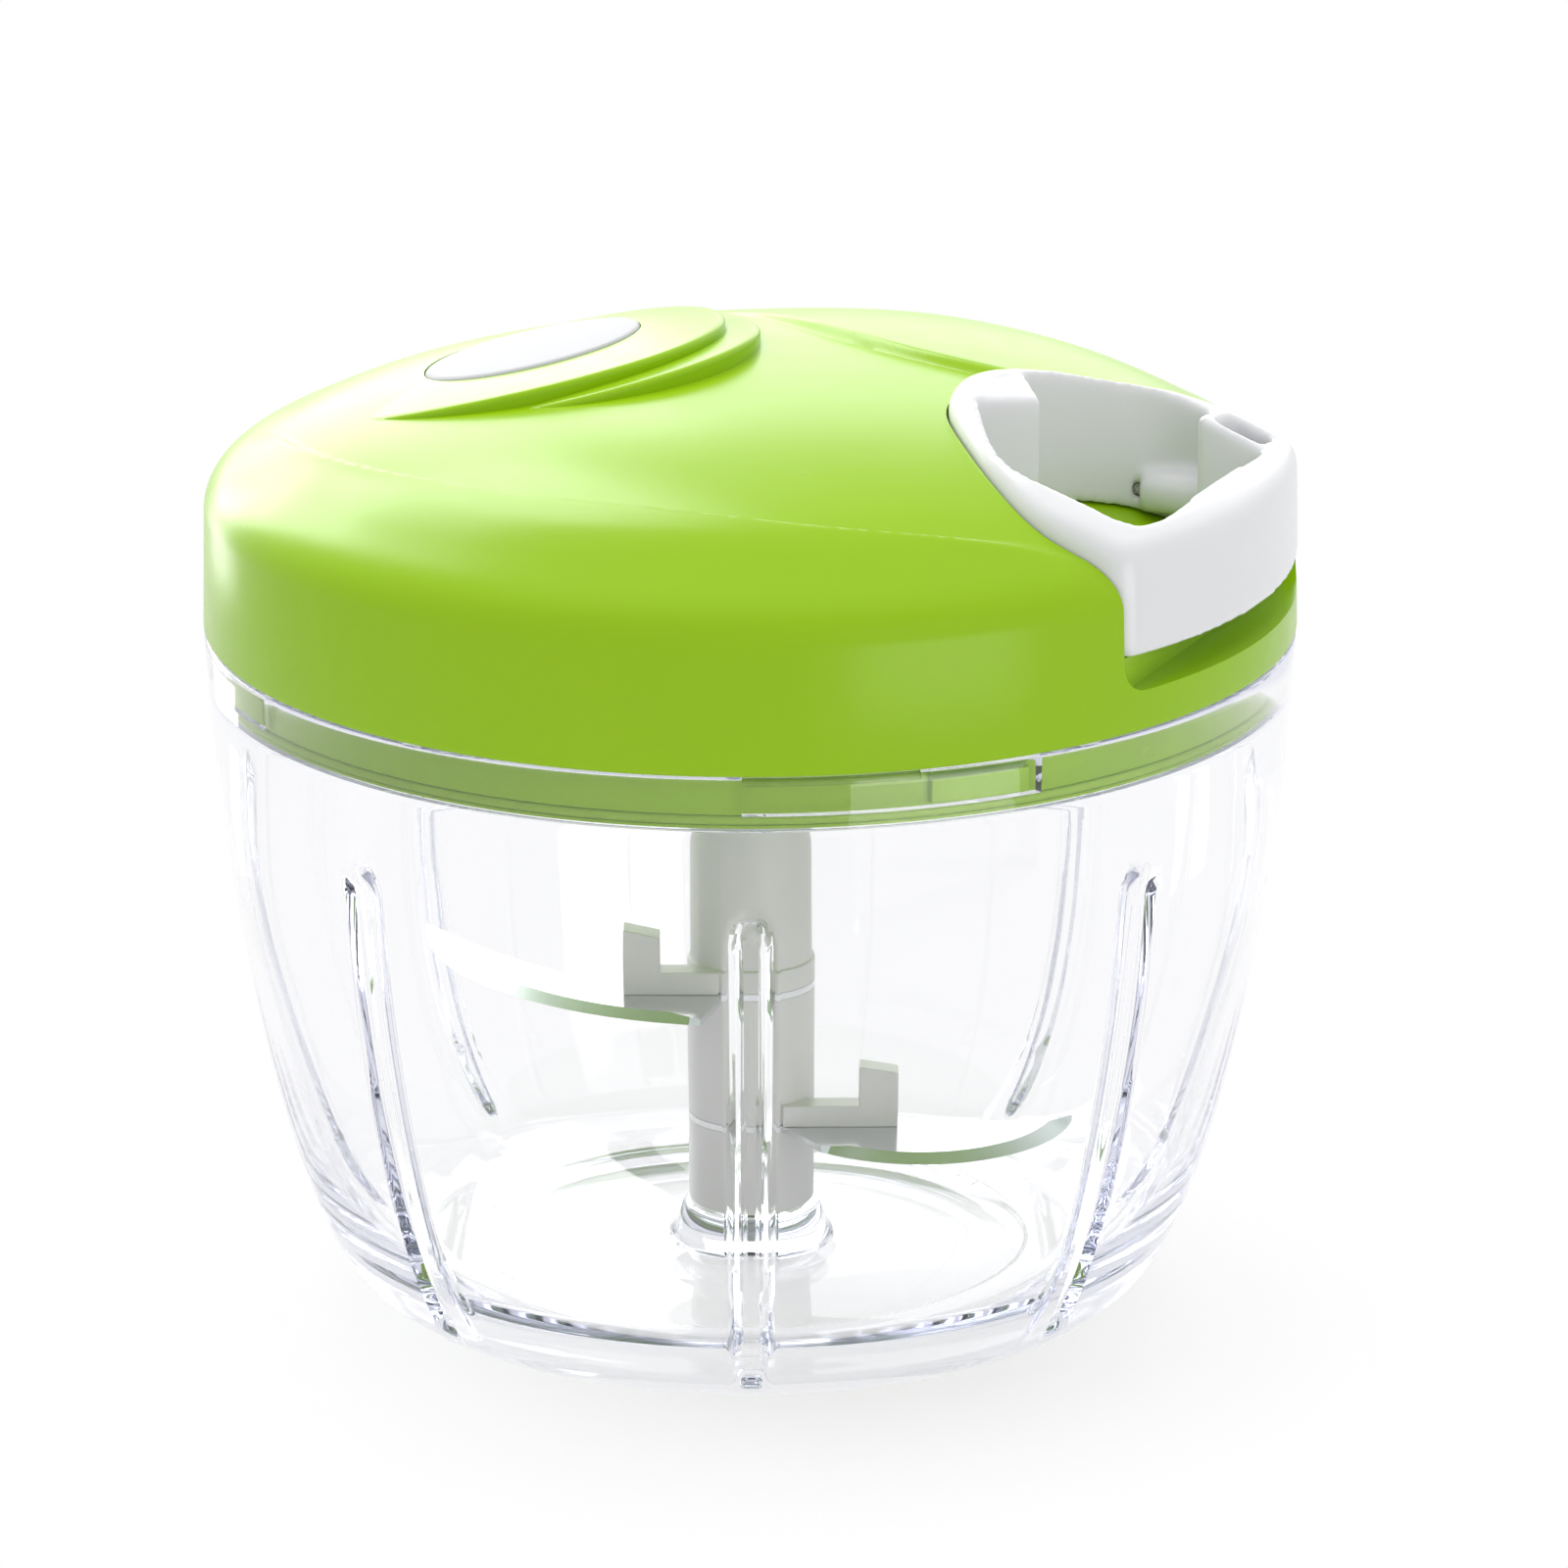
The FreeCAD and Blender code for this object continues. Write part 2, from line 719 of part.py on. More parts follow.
def make_spindle_shaft():
    """The hexagonal core with its head and two dogs."""
    body = new_body("spindle_shaft", d.column_turn)
    stem = new_sketch(body, "stem_section", "XY_Plane", shaft_foot)
    add_outline(stem, hexagon(d.hex_flats))
    add_pad(body, "stem", stem, head_level - shaft_foot)
    add_turning(body, "head", [
        (0, head_level),
        (d.head_radius, head_level),
        (d.head_radius, head_top),
        (0, head_top),
    ])
    dogs = new_sketch(body, "dog_section", "XY_Plane", head_top)
    add_sector(dogs, d.dog_inner_radius, d.head_radius, as_size(0), d.dog_half_angle)
    dog = add_pad(body, "dog", dogs, d.dog_height)
    add_polar(body, "dogs", dog, dogs, 2)
    bore = new_sketch(body, "bore_section", "XY_Plane", shaft_foot)
    add_circle(bore, 0, 0, shaft_bore_radius)
    add_pocket(body, "bore", bore, shaft_bore_top - shaft_foot)


def make_sleeve(label, low, high, hex_low):
    """One round sleeve of the column with a hexagonal hole from a level upwards."""
    body = new_body(label, d.column_turn)
    sleeve = new_sketch(body, "sleeve_section", "XY_Plane", low)
    add_circle(sleeve, 0, 0, d.column_radius)
    add_pad(body, "sleeve", sleeve, high - low)
    hole = new_sketch(body, "hex_section", "XY_Plane", hex_low)
    add_outline(hole, hexagon(d.hex_flats + d.hex_gap * 2))
    return body, hole


def add_arm(body, low, reach, post_width, post_height, side):
    """The arm beside the column with its upright post, in one upright sketch."""
    outer = reach * side
    inner = (reach - post_width) * side
    root = d.column_radius * (0.5 * side)
    arm_top = low + d.arm_height
    post_top = low + post_height
    sketch = new_sketch(body, "arm_side", "XZ_Plane", d.arm_face - d.arm_depth)
    add_outline(sketch, [
        (root, low),
        (outer, low),
        (outer, post_top - d.post_slant * (1 + side) / 2),
        (inner, post_top - d.post_slant * (1 - side) / 2),
        (inner, arm_top),
        (root, arm_top),
    ])
    add_pad(body, "arm", sketch, d.arm_depth)


lower_blade_top = d.lower_seam_level + d.blade_thickness
upper_blade_top = d.upper_seam_level + d.blade_thickness


def make_column():
    """The shaft and its three stacked sleeves."""
    make_spindle_shaft()
    lower, hole = make_sleeve("lower_sleeve", column_foot, d.lower_seam_level, shaft_foot)
    add_pocket(lower, "hex", hole, d.lower_seam_level - shaft_foot)
    pin_hole = new_sketch(lower, "pin_hole_section", "XY_Plane", column_foot)
    add_circle(pin_hole, 0, 0, d.pin_radius + d.column_foot_gap)
    add_pocket(lower, "pin_hole", pin_hole, d.column_floor)

    middle, hole = make_sleeve("middle_sleeve", lower_blade_top, d.upper_seam_level, lower_blade_top)
    add_arm(middle, lower_blade_top, d.lower_arm_reach, d.lower_post_width, d.lower_post_height, 1)
    add_pocket(middle, "hex", hole, d.upper_seam_level - lower_blade_top)

    upper = new_body("upper_sleeve", d.column_turn)
    add_turning(upper, "sleeve", [
        (0, upper_blade_top),
        (d.column_radius, upper_blade_top),
        (d.column_radius, d.neck_level),
        (d.neck_radius, d.neck_level),
        (d.neck_radius, head_level),
        (0, head_level),
    ])
    add_arm(upper, upper_blade_top, d.upper_arm_reach, d.upper_post_width, d.upper_post_height, -1)
    hole = new_sketch(upper, "hex_section", "XY_Plane", upper_blade_top)
    add_outline(hole, hexagon(d.hex_flats + d.hex_gap * 2))
    add_pocket(upper, "hex", hole, head_level - upper_blade_top)


def make_blade(label, level, reach, shares, side):
    """A curved blade with its hub ring, in the column's own axes; corners as shares of its reach."""
    heel, belly, tip, back, root = [Vector(x * reach * side, y * reach, 0) for x, y in shares]
    near_root = Vector(side * n.column_radius * 0.35, -n.column_radius * 0.7, 0)
    far_root = Vector(side * n.column_radius * 0.8, 0, 0)
    outline = Part.Wire([
        line(near_root, heel),
        Part.Arc(heel, belly, tip).toShape(),
        Part.Arc(tip, back, root).toShape(),
        line(root, far_root),
        line(far_root, near_root),
    ])
    steel = Part.Face(outline).extrude(Vector(0, 0, n.blade_thickness))
    steel = steel.fuse(Part.makeCylinder(n.column_radius, n.blade_thickness))
    corners = [Vector(x.value, y.value, -1) for x, y in hexagon(d.hex_flats + d.hex_gap * 2)]
    hole = Part.Face(Part.makePolygon(corners + corners[:1])).extrude(Vector(0, 0, 4))
    set_feature(label, steel.cut(hole).removeSplitter(), turned_to(n.column_turn, level))


UPPER_BLADE = [(0.1481, -0.4286), (0.7091, -0.1377), (1, 0.5455), (0.7091, 0.1792), (0.3948, -0.0935)]
LOWER_BLADE = [(0.2133, -0.3627), (0.5733, -0.4773), (1, -0.1067), (0.72, -0.1493), (0.464, -0.096)]

make_column()
make_blade("upper_blade", n.upper_seam_level, n.upper_blade_reach, UPPER_BLADE, -1)
make_blade("lower_blade", n.lower_seam_level, n.lower_blade_reach, LOWER_BLADE, 1)


# Lid cover

LID_LEVEL = n.rim_level + n.cover_gap
WALL_DRAFT = (n.cover_foot_radius - n.cover_radius) / (n.wall_top_level - LID_LEVEL)
COVER_OUTER = [
    rz(n.cover_radius, n.wall_top_level),
    rz(n.shoulder_radius, n.shoulder_level),
    rz(n.temple_radius, n.temple_level),
    rz(n.brow_radius, n.brow_level),
    rz(n.crown_radius, n.crown_level),
    rz(0, n.apex_level),
]
COVER_START = Vector(-WALL_DRAFT, 0, 1)
COVER_END = Vector(-1, 0, 0)


def wall_radius(level):
    """The radius of the cover's slightly conical outer wall at a level."""
    return n.cover_radius + (n.wall_top_level - level) * WALL_DRAFT


def filled_cover(inset, low):
    """Everything under the cover's outer face, moved inwards by an inset."""
    moved = inset_points(COVER_OUTER, COVER_START, COVER_END, inset)
    rim, apex = moved[0], moved[-1]
    foot = rz(wall_radius(low) - inset, low)
    return turned_solid([
        spline(moved, COVER_START, COVER_END).toShape(),
        line(apex, rz(0, low)),
        line(rz(0, low), foot),
        line(foot, rim),
    ])


def oval_prism(centre, half_length, half_width, low, high, grow=0.0):
    """An upright prism on an oval that is longest across the lid."""
    oval = Part.Ellipse(Vector(centre, half_width + grow, low), Vector(centre - half_length - grow, 0, low),
                        Vector(centre, 0, low))
    return Part.Face(Part.Wire(oval.toShape())).extrude(Vector(0, 0, high - low))


def tilted(solid, hinge, angle):
    """A solid turned about a line across the lid, so that its +X side rises."""
    copy = solid.copy()
    copy.rotate(Vector(-hinge, 0, n.crown_level), Vector(0, 1, 0), -angle)
    return copy


HANDLE_POINTS = [
    Vector(n.handle_tip, 0, 0),
    Vector(n.handle_flank_x, n.handle_flank_y, 0),
    Vector(n.handle_shoulder_x, n.handle_shoulder_y, 0),
    Vector(n.handle_side_x, n.handle_half_width, 0),
]


def handle_prism(grow, low, high, reach):
    """An upright prism on the handle's outline, with each point grown outwards, open at the rim."""
    curve = spline(HANDLE_POINTS, Vector(0, 1, 0), Vector(1, 0, 0))
    upper = []
    for point, step in zip(HANDLE_POINTS, grow):
        direction = curve.tangent(curve.parameter(point))[0]
        outward = UP.cross(direction).normalize()
        moved = point + outward * step
        upper.append(Vector(moved.x, moved.y, low))
    lower = [Vector(point.x, -point.y, point.z) for point in upper]
    end_up = Vector(reach, upper[-1].y, low)
    end_down = Vector(reach, lower[-1].y, low)
    outline = Part.Wire([
        spline(upper, Vector(0, 1, 0), Vector(1, 0, 0)).toShape(),
        line(upper[-1], end_up),
        line(end_up, end_down),
        line(end_down, lower[-1]),
        spline(lower[::-1], Vector(-1, 0, 0), Vector(0, 1, 0)).toShape(),
    ])
    return Part.Face(outline).extrude(Vector(0, 0, high - low))


SNUG = [0.0] * 4
IN_SEAT = [n.seat_gap] * 4
SEAT_OUTSIDE = [n.seat_gap + n.seat_wall] * 4
HOLE_INSET = [-n.handle_tip_wall, -n.handle_flank_wall, -n.handle_shoulder_wall, -n.handle_side_wall]
SKY_LEVEL = n.apex_level + 20
SEAT_LEVEL = n.handle_foot_level - n.seat_floor_gap
BEYOND_RIM = n.cover_radius + 10
COVER_FLOOR = LID_LEVEL + n.base_thickness


def under_slope(drop):
    """Everything under the handle's sloping foot, lowered by a drop."""
    foot = n.handle_foot_level - drop
    tip = foot + n.handle_slope_heel_x * n.handle_foot_slope
    corners = [
        Vector(0, -BEYOND_RIM, foot - 10),
        Vector(n.handle_slope_heel_x, -BEYOND_RIM, foot - 10),
        Vector(n.handle_slope_heel_x, -BEYOND_RIM, foot),
        Vector(0, -BEYOND_RIM, tip),
    ]
    side = Part.Face(Part.makePolygon(corners + corners[:1]))
    return side.extrude(Vector(0, 2 * BEYOND_RIM, 0))


def seat_cutter():
    """The open seat of the handle and the finger gap under its outer wall."""
    seat = handle_prism(IN_SEAT, SEAT_LEVEL, SKY_LEVEL, BEYOND_RIM).cut(under_slope(n.seat_floor_gap))
    half_width = n.handle_half_width + n.seat_gap
    grip = box(Vector(n.handle_side_x, -half_width, n.grip_floor_level),
               Vector(BEYOND_RIM, half_width, SEAT_LEVEL + 1))
    low_edges = [edge for edge in grip.Edges
                 if all(abs(v.Z - n.grip_floor_level) < 0.01 for v in edge.Vertexes)
                 and abs(abs(edge.Vertexes[0].Y) - half_width) < 0.01
                 and abs(edge.Vertexes[0].Y - edge.Vertexes[1].Y) < 0.01]
    grip = grip.makeFillet(n.grip_corner_radius, low_edges)
    pillar = Part.makeCylinder(n.grip_floor_radius, n.handle_lift * 2, rz(0, n.grip_floor_level - 1))
    return seat.fuse(grip.cut(pillar))


def cord_bore(radius, start, stop):
    """A round bore along the cord's run."""
    return Part.makeCylinder(radius, stop - start, Vector(start, n.winding_radius, n.cord_level),
                             Vector(1, 0, 0))


def cover_space():
    """The hollow under the cover, without the seat walls, bosses and eyelet block that fill it."""
    half_width = n.handle_half_width + n.seat_gap + n.seat_wall
    seat_walls = handle_prism(SEAT_OUTSIDE, SEAT_LEVEL - n.seat_floor_thickness, SKY_LEVEL, BEYOND_RIM)
    fillings = [
        seat_walls.cut(under_slope(n.seat_floor_gap + n.seat_floor_thickness)),
        box(Vector(n.grip_floor_radius - n.seat_wall, -half_width,
                   n.grip_floor_level - n.seat_floor_thickness),
            Vector(BEYOND_RIM, half_width, SEAT_LEVEL)),
        Part.makeCylinder(n.axle_boss_radius, SKY_LEVEL, rz(0, n.axle_boss_level)),
        box(Vector(n.eyelet_face_x, n.winding_radius - n.eyelet_block_half_width,
                   n.cord_level - n.eyelet_block_half_width),
            Vector(n.handle_side_x, n.winding_radius + n.eyelet_block_half_width,
                   n.cord_level + n.eyelet_block_half_width)),
    ]
    for x, y in screw_places():
        fillings.append(Part.makeCylinder(n.screw_boss_radius, SKY_LEVEL,
                                          Vector(x, y, COVER_FLOOR + n.base_gap)))
    return filled_cover(n.cover_wall, LID_LEVEL - 1).cut(fillings)


def make_cover():
    """The green cover: dome, tiers, badge seat, handle seat, screw bosses and axle boss."""
    dome = filled_cover(0, LID_LEVEL)
    lift = LID_LEVEL + 15
    step = oval_prism(-n.step_centre, n.step_half_length, n.step_half_width, lift, SKY_LEVEL)
    tier = oval_prism(-n.tier_centre, n.tier_half_length, n.tier_half_width, lift, SKY_LEVEL)
    tier_dome = tilted(dome, n.tier_hinge, n.tier_tilt)
    outside = dome.fuse([step.common(tilted(dome, n.step_hinge, n.step_tilt)), tier.common(tier_dome)])

    seat_face = tier_dome.copy()
    seat_face.translate(rz(0, -n.badge_seat_depth))
    badge_space = oval_prism(-n.badge_centre, n.badge_half_length, n.badge_half_width, lift, SKY_LEVEL,
                             n.badge_gap).cut(seat_face)
    cutters = [
        cover_space(),
        seat_cutter(),
        badge_space,
        Part.makeCylinder(n.axle_radius, n.axle_top_level - n.axle_boss_level + 1,
                          rz(0, n.axle_boss_level - 1)),
        cord_bore(n.eyelet_radius, n.eyelet_face_x - 1,
                  n.eyelet_face_x + n.eyelet_length - n.eyelet_flange_thickness),
        cord_bore(n.cord_radius + n.eyelet_bore_gap, n.eyelet_face_x, n.handle_side_x),
    ]
    for x, y in screw_places():
        cutters.append(Part.makeCylinder(n.screw_shank_radius, n.screw_length + n.screw_end_gap,
                                         Vector(x, y, LID_LEVEL)))
    set_feature("lid_cover", outside.cut(cutters))

    badge_top = tier_dome.copy()
    badge_top.translate(rz(0, n.badge_proud))
    badge = oval_prism(-n.badge_centre, n.badge_half_length, n.badge_half_width, lift, SKY_LEVEL)
    set_feature("lid_badge", badge.common(badge_top).cut(seat_face))


def screw_places():
    """Where the lid's screws stand, clear of the handle's seat."""
    places = []
    pairs = int(n.screw_count) // 2
    for pair in range(pairs):
        angle = math.radians(n.screw_first_angle + pair * n.screw_pair_angle)
        for side in (1, -1):
            places.append((n.screw_circle_radius * math.cos(angle),
                           side * n.screw_circle_radius * math.sin(angle)))
    return places


make_cover()


# Handle

def upright_edges(solid, low_x):
    """A solid's straight upright edges beyond an X position."""
    return [edge for edge in solid.Edges
            if len(edge.Vertexes) == 2
            and edge.Vertexes[0].X > low_x
            and math.hypot(edge.Vertexes[0].X - edge.Vertexes[1].X,
                           edge.Vertexes[0].Y - edge.Vertexes[1].Y) < 1.5
            and abs(edge.Vertexes[0].Z - edge.Vertexes[1].Z) > 5]


def wall_cone(inset, low, high):
    """Everything inside the lid's conical wall line, its seam away from the handle."""
    cone = Part.makeCone(wall_radius(low) - inset, wall_radius(high) - inset, high - low, rz(0, low))
    cone.rotate(Vector(), UP, 180)
    return cone


def crown_sphere(drop):
    """The large sphere whose top is the handle's crown, lowered by a drop, its seam to the back."""
    level = n.handle_crown_level - n.handle_crown_radius - drop
    sphere = Part.makeSphere(n.handle_crown_radius, Vector(0, 0, level))
    sphere.rotate(Vector(), UP, 180)
    return sphere


def loop_hole(low, high):
    """The finger hole's space between two levels, without the knot pocket's walls and the nose."""
    hole = handle_prism(HOLE_INSET, low, high, BEYOND_RIM)
    hole = hole.common(wall_cone(n.handle_outer_wall, low - 1, high + 1))
    hole = hole.makeFillet(n.hole_corner_radius, upright_edges(hole, n.handle_side_x + 1))
    pocket_corner = Vector(n.knot_x - n.pocket_length / 2 - n.pocket_wall,
                           n.winding_radius - n.pocket_width / 2 - n.pocket_wall, 0)
    hole = hole.cut(box(pocket_corner, Vector(BEYOND_RIM, BEYOND_RIM, high + 2)))

    apex = Vector(n.handle_tip + n.handle_tip_wall + n.nose_length, 0, 0)
    back = Vector(n.handle_tip, 0, 0)
    spread = (apex.x - back.x) * math.tan(math.radians(n.nose_half_angle))
    corners = [apex, back + Vector(0, spread, 0), back - Vector(0, spread, 0), apex]
    nose = Part.Face(Part.makePolygon(corners)).extrude(Vector(0, 0, high + 2))
    return hole.cut(nose.common(crown_sphere(n.nose_drop)))


def make_handle():
    """The white finger loop with its cord tunnel, knot pocket and partial floor."""
    high = n.handle_crown_level + 1
    foot = n.handle_foot_level
    block = handle_prism(SNUG, foot, high, BEYOND_RIM).common(wall_cone(0, foot - 1, high + 1))
    block = block.makeFillet(n.handle_corner_radius, upright_edges(block, n.handle_side_x + 1))
    block = block.common(crown_sphere(0))
    top_edges = [edge for edge in block.Edges if edge.BoundBox.ZMin > n.wall_top_level]
    block = block.makeFillet(n.handle_edge_round, top_edges)
    block = block.cut(under_slope(0))

    web = box(Vector(n.web_edge_x, -BEYOND_RIM, 0), Vector(BEYOND_RIM, BEYOND_RIM, foot + n.web_thickness))
    loop = block.cut(loop_hole(foot - 1, high).cut(web))

    pocket_low_x = n.knot_x - n.pocket_length / 2
    pocket_low_y = n.winding_radius - n.pocket_width / 2
    tunnel = Part.makeCylinder(n.tunnel_radius, pocket_low_x - n.handle_shoulder_x,
                               Vector(n.handle_shoulder_x, n.winding_radius, n.cord_level), Vector(1, 0, 0))
    loop = loop.fuse(tunnel.common(block))
    pocket_floor = n.cord_level - n.knot_radius - n.cord_gap
    pocket = box(Vector(pocket_low_x, pocket_low_y, pocket_floor),
                 Vector(pocket_low_x + n.pocket_length, pocket_low_y + n.pocket_width, high + 2))
    pocket = pocket.makeFillet(n.pocket_wall, upright_edges(pocket, 0))
    pocket = pocket.common(wall_cone(n.pocket_wall, foot, high + 3))
    return loop.cut([pocket, cord_bore(n.cord_radius + n.cord_gap, 0, pocket_low_x + 1)])


set_feature("pull_handle", make_handle())


# Lid base, its seal and its screws

lid_level = d.rim_level + d.cover_gap
base_top = lid_level + d.base_thickness
base_radius = d.cover_foot_radius - d.cover_wall - d.base_gap
wall_draft = (d.cover_foot_radius - d.cover_radius) / (d.wall_top_level - lid_level)
skirt_radius = d.band_inner_radius - d.skirt_gap
skirt_foot = d.ledge_level + d.skirt_foot_gap
seal_inner = skirt_radius - d.seal_depth
seal_top = d.seal_level + d.seal_height
bearing_bore = d.bearing_radius + d.bearing_gap
bearing_outer = bearing_bore + d.bearing_wall
collar_inner = d.neck_radius + d.collar_gap


def make_lid_base():
    """The lid's floor with skirt, seal groove, bearing, collar, lugs and screw holes."""
    body = new_body("lid_base")
    add_turning(body, "floor", [
        (bearing_bore, d.bearing_foot_level),
        (bearing_bore, d.bearing_top_level),
        (bearing_outer, d.bearing_top_level),
        (bearing_outer, base_top),
        (base_radius - wall_draft * d.base_thickness, base_top),
        (base_radius, lid_level),
        (skirt_radius, lid_level),
        (skirt_radius, seal_top + d.seal_gap),
        (seal_inner - d.seal_gap, seal_top + d.seal_gap),
        (seal_inner - d.seal_gap, d.seal_level - d.seal_gap),
        (skirt_radius, d.seal_level - d.seal_gap),
        (skirt_radius, skirt_foot),
        (skirt_radius - d.skirt_thickness, skirt_foot),
        (skirt_radius - d.skirt_thickness, lid_level),
        (bearing_outer, lid_level),
        (bearing_outer, d.collar_foot_level),
        (collar_inner, d.collar_foot_level),
        (collar_inner, d.bearing_foot_level),
    ])
    lugs = new_sketch(body, "lug_section", "XY_Plane", d.lug_level)
    add_sector(lugs, skirt_radius - d.skirt_thickness / 2, skirt_radius + d.lug_reach,
               d.lug_turn, d.lug_half_angle)
    lug = add_pad(body, "lug", lugs, d.lug_thickness)
    add_polar(body, "lugs", lug, lugs, d.lug_count)
    holes = new_sketch(body, "screw_hole_section", "XY_Plane", lid_level)
    for x, y in screw_places():
        radius = math.hypot(x, y)
        add_circle(holes, d.screw_circle_radius * (x / radius), d.screw_circle_radius * (y / radius),
                   d.screw_shank_radius + d.axle_gap)
    add_pocket(body, "screw_holes", holes, d.base_thickness)


make_lid_base()

lid_seal = new_body("lid_seal")
add_turning(lid_seal, "ring", [
    (seal_inner, d.seal_level),
    (d.band_inner_radius - d.seal_gap, d.seal_level),
    (d.band_inner_radius - d.seal_gap, seal_top),
    (seal_inner, seal_top),
])


def make_screws():
    """The four screws that hold base and cover together."""
    level = LID_LEVEL
    screws = []
    for x, y in screw_places():
        head = Part.makeCylinder(n.screw_head_radius, n.screw_head_height,
                                 Vector(x, y, level - n.screw_head_height))
        low_edges = [edge for edge in head.Edges if len(edge.Vertexes) == 1
                     and edge.Vertexes[0].Z < level - n.screw_head_height / 2]
        head = head.makeFillet(n.screw_head_height / 2, low_edges)
        slot_width = n.screw_head_radius / 4
        slot = box(Vector(x - n.screw_head_radius * 0.6, y - slot_width / 2, level - n.screw_head_height - 1),
                   Vector(x + n.screw_head_radius * 0.6, y + slot_width / 2,
                          level - n.screw_head_height / 2))
        cross = slot.copy()
        cross.rotate(Vector(x, y, 0), UP, 90)
        shank = Part.makeCylinder(n.screw_shank_radius, n.screw_length, Vector(x, y, level))
        screws.append(head.fuse(shank).cut(slot).cut(cross))
    return Part.makeCompound(screws)


set_feature("lid_screws", make_screws())


# Axle, washer and reel

axle = new_body("reel_axle")
add_turning(axle, "axle", [
    (0, d.axle_foot_level),
    (d.axle_radius - 0.5, d.axle_foot_level),
    (d.axle_radius, d.axle_foot_level + 0.5),
    (d.axle_radius, d.axle_top_level),
    (0, d.axle_top_level),
])

spring_cover_top = d.reel_top_level + d.spring_cover_thickness
washer_level = d.axle_boss_level - d.washer_thickness - d.thrust_gap
running_bore = d.axle_radius + d.axle_gap

washer = new_body("reel_washer")
add_turning(washer, "washer", [
    (running_bore, washer_level),
    (d.washer_radius, washer_level),
    (d.washer_radius, washer_level + d.washer_thickness),
    (running_bore, washer_level + d.washer_thickness),
])

drum_radius = d.winding_radius - d.cord_radius
web_top = d.web_level + d.reel_web_thickness
pawl_level = d.web_level - d.pawl_gap - d.pawl_thickness
retainer_level = pawl_level - d.pawl_gap - d.retainer_thickness
pawl_angles = [d.pawl_lead_angle, d.pawl_lead_angle + 180.0]


def make_reel():
    """The cord drum with two flanges, a web with a hub and two pawl pins."""
    body = new_body("reel_drum")
    low_flange_top = d.reel_foot_level + d.reel_flange_thickness
    top_flange_foot = d.reel_top_level - d.reel_flange_thickness
    add_turning(body, "drum", [
        (running_bore, d.web_level),
        (d.drum_inner_radius, d.web_level),
        (d.drum_inner_radius, retainer_level),
        (drum_radius, retainer_level),
        (drum_radius, d.reel_foot_level),
        (d.reel_flange_radius, d.reel_foot_level),
        (d.reel_flange_radius, low_flange_top),
        (drum_radius, low_flange_top),
        (drum_radius, top_flange_foot),
        (d.reel_flange_radius, top_flange_foot),
        (d.reel_flange_radius, d.reel_top_level),
        (d.drum_inner_radius, d.reel_top_level),
        (d.drum_inner_radius, web_top),
        (d.reel_hub_radius, web_top),
        (running_bore, web_top),
    ])
    pins = new_sketch(body, "pawl_pin_section", "XY_Plane", retainer_level)
    for angle in pawl_angles:
        x, y = polar(d.pawl_circle_radius, angle)
        add_circle(pins, x, y, d.pawl_pin_radius)
    add_pad(body, "pawl_pins", pins, d.web_level - retainer_level + 0.5)


make_reel()

spring_cover = new_body("spring_cover")
add_turning(spring_cover, "disc", [
    (running_bore + d.axle_gap * 2, d.reel_top_level),
    (drum_radius, d.reel_top_level),
    (drum_radius, spring_cover_top),
    (running_bore + d.axle_gap * 2, spring_cover_top),
])

winding = new_body("cord_winding")
winding_top = d.reel_top_level - d.reel_flange_thickness - d.thrust_gap * 2
winding_height = d.cord_radius * 2 * d.cord_turns
winding_middle = (d.reel_foot_level + d.reel_top_level) / 2
add_turning(winding, "turns", [
    (drum_radius, winding_middle - winding_height / 2),
    (drum_radius + d.cord_radius * 1.4, winding_middle - winding_height / 2),
    (drum_radius + d.cord_radius * 2, winding_middle - winding_height / 2 + d.cord_radius),
    (drum_radius + d.cord_radius * 2, winding_middle + winding_height / 2 - d.cord_radius),
    (drum_radius + d.cord_radius * 1.4, winding_middle + winding_height / 2),
    (drum_radius, winding_middle + winding_height / 2),
])


def make_rewind_spring():
    """A flat spiral strip between the axle and the drum."""
    inner = n.axle_radius + n.spring_end_gap
    outer = n.drum_inner_radius - n.spring_end_gap - n.spring_thickness
    level = web_top.value + n.spring_end_gap
    steps = int(n.spring_turns * 16)
    sides = []
    for offset in (0.0, n.spring_thickness):
        points = []
        for step in range(steps + 1):
            share = step / steps
            angle = share * n.spring_turns * 2 * math.pi
            radius = inner + (outer - inner) * share + offset
            points.append(Vector(radius * math.cos(angle), radius * math.sin(angle), level))
        sides.append(points)
    edges = [spline(sides[0]).toShape(), line(sides[0][-1], sides[1][-1]),
             spline(sides[1]).toShape(), line(sides[1][0], sides[0][0])]
    face = Part.Face(Part.Wire(Part.__sortEdges__(edges)))
    return face.extrude(Vector(0, 0, n.spring_height))


set_feature("rewind_spring", make_rewind_spring())


# One-way clutch

hub_flange_level = d.bearing_top_level + d.thrust_gap
hub_flange_top = hub_flange_level + d.hub_flange_thickness
hub_foot = dog_top + d.dog_end_gap


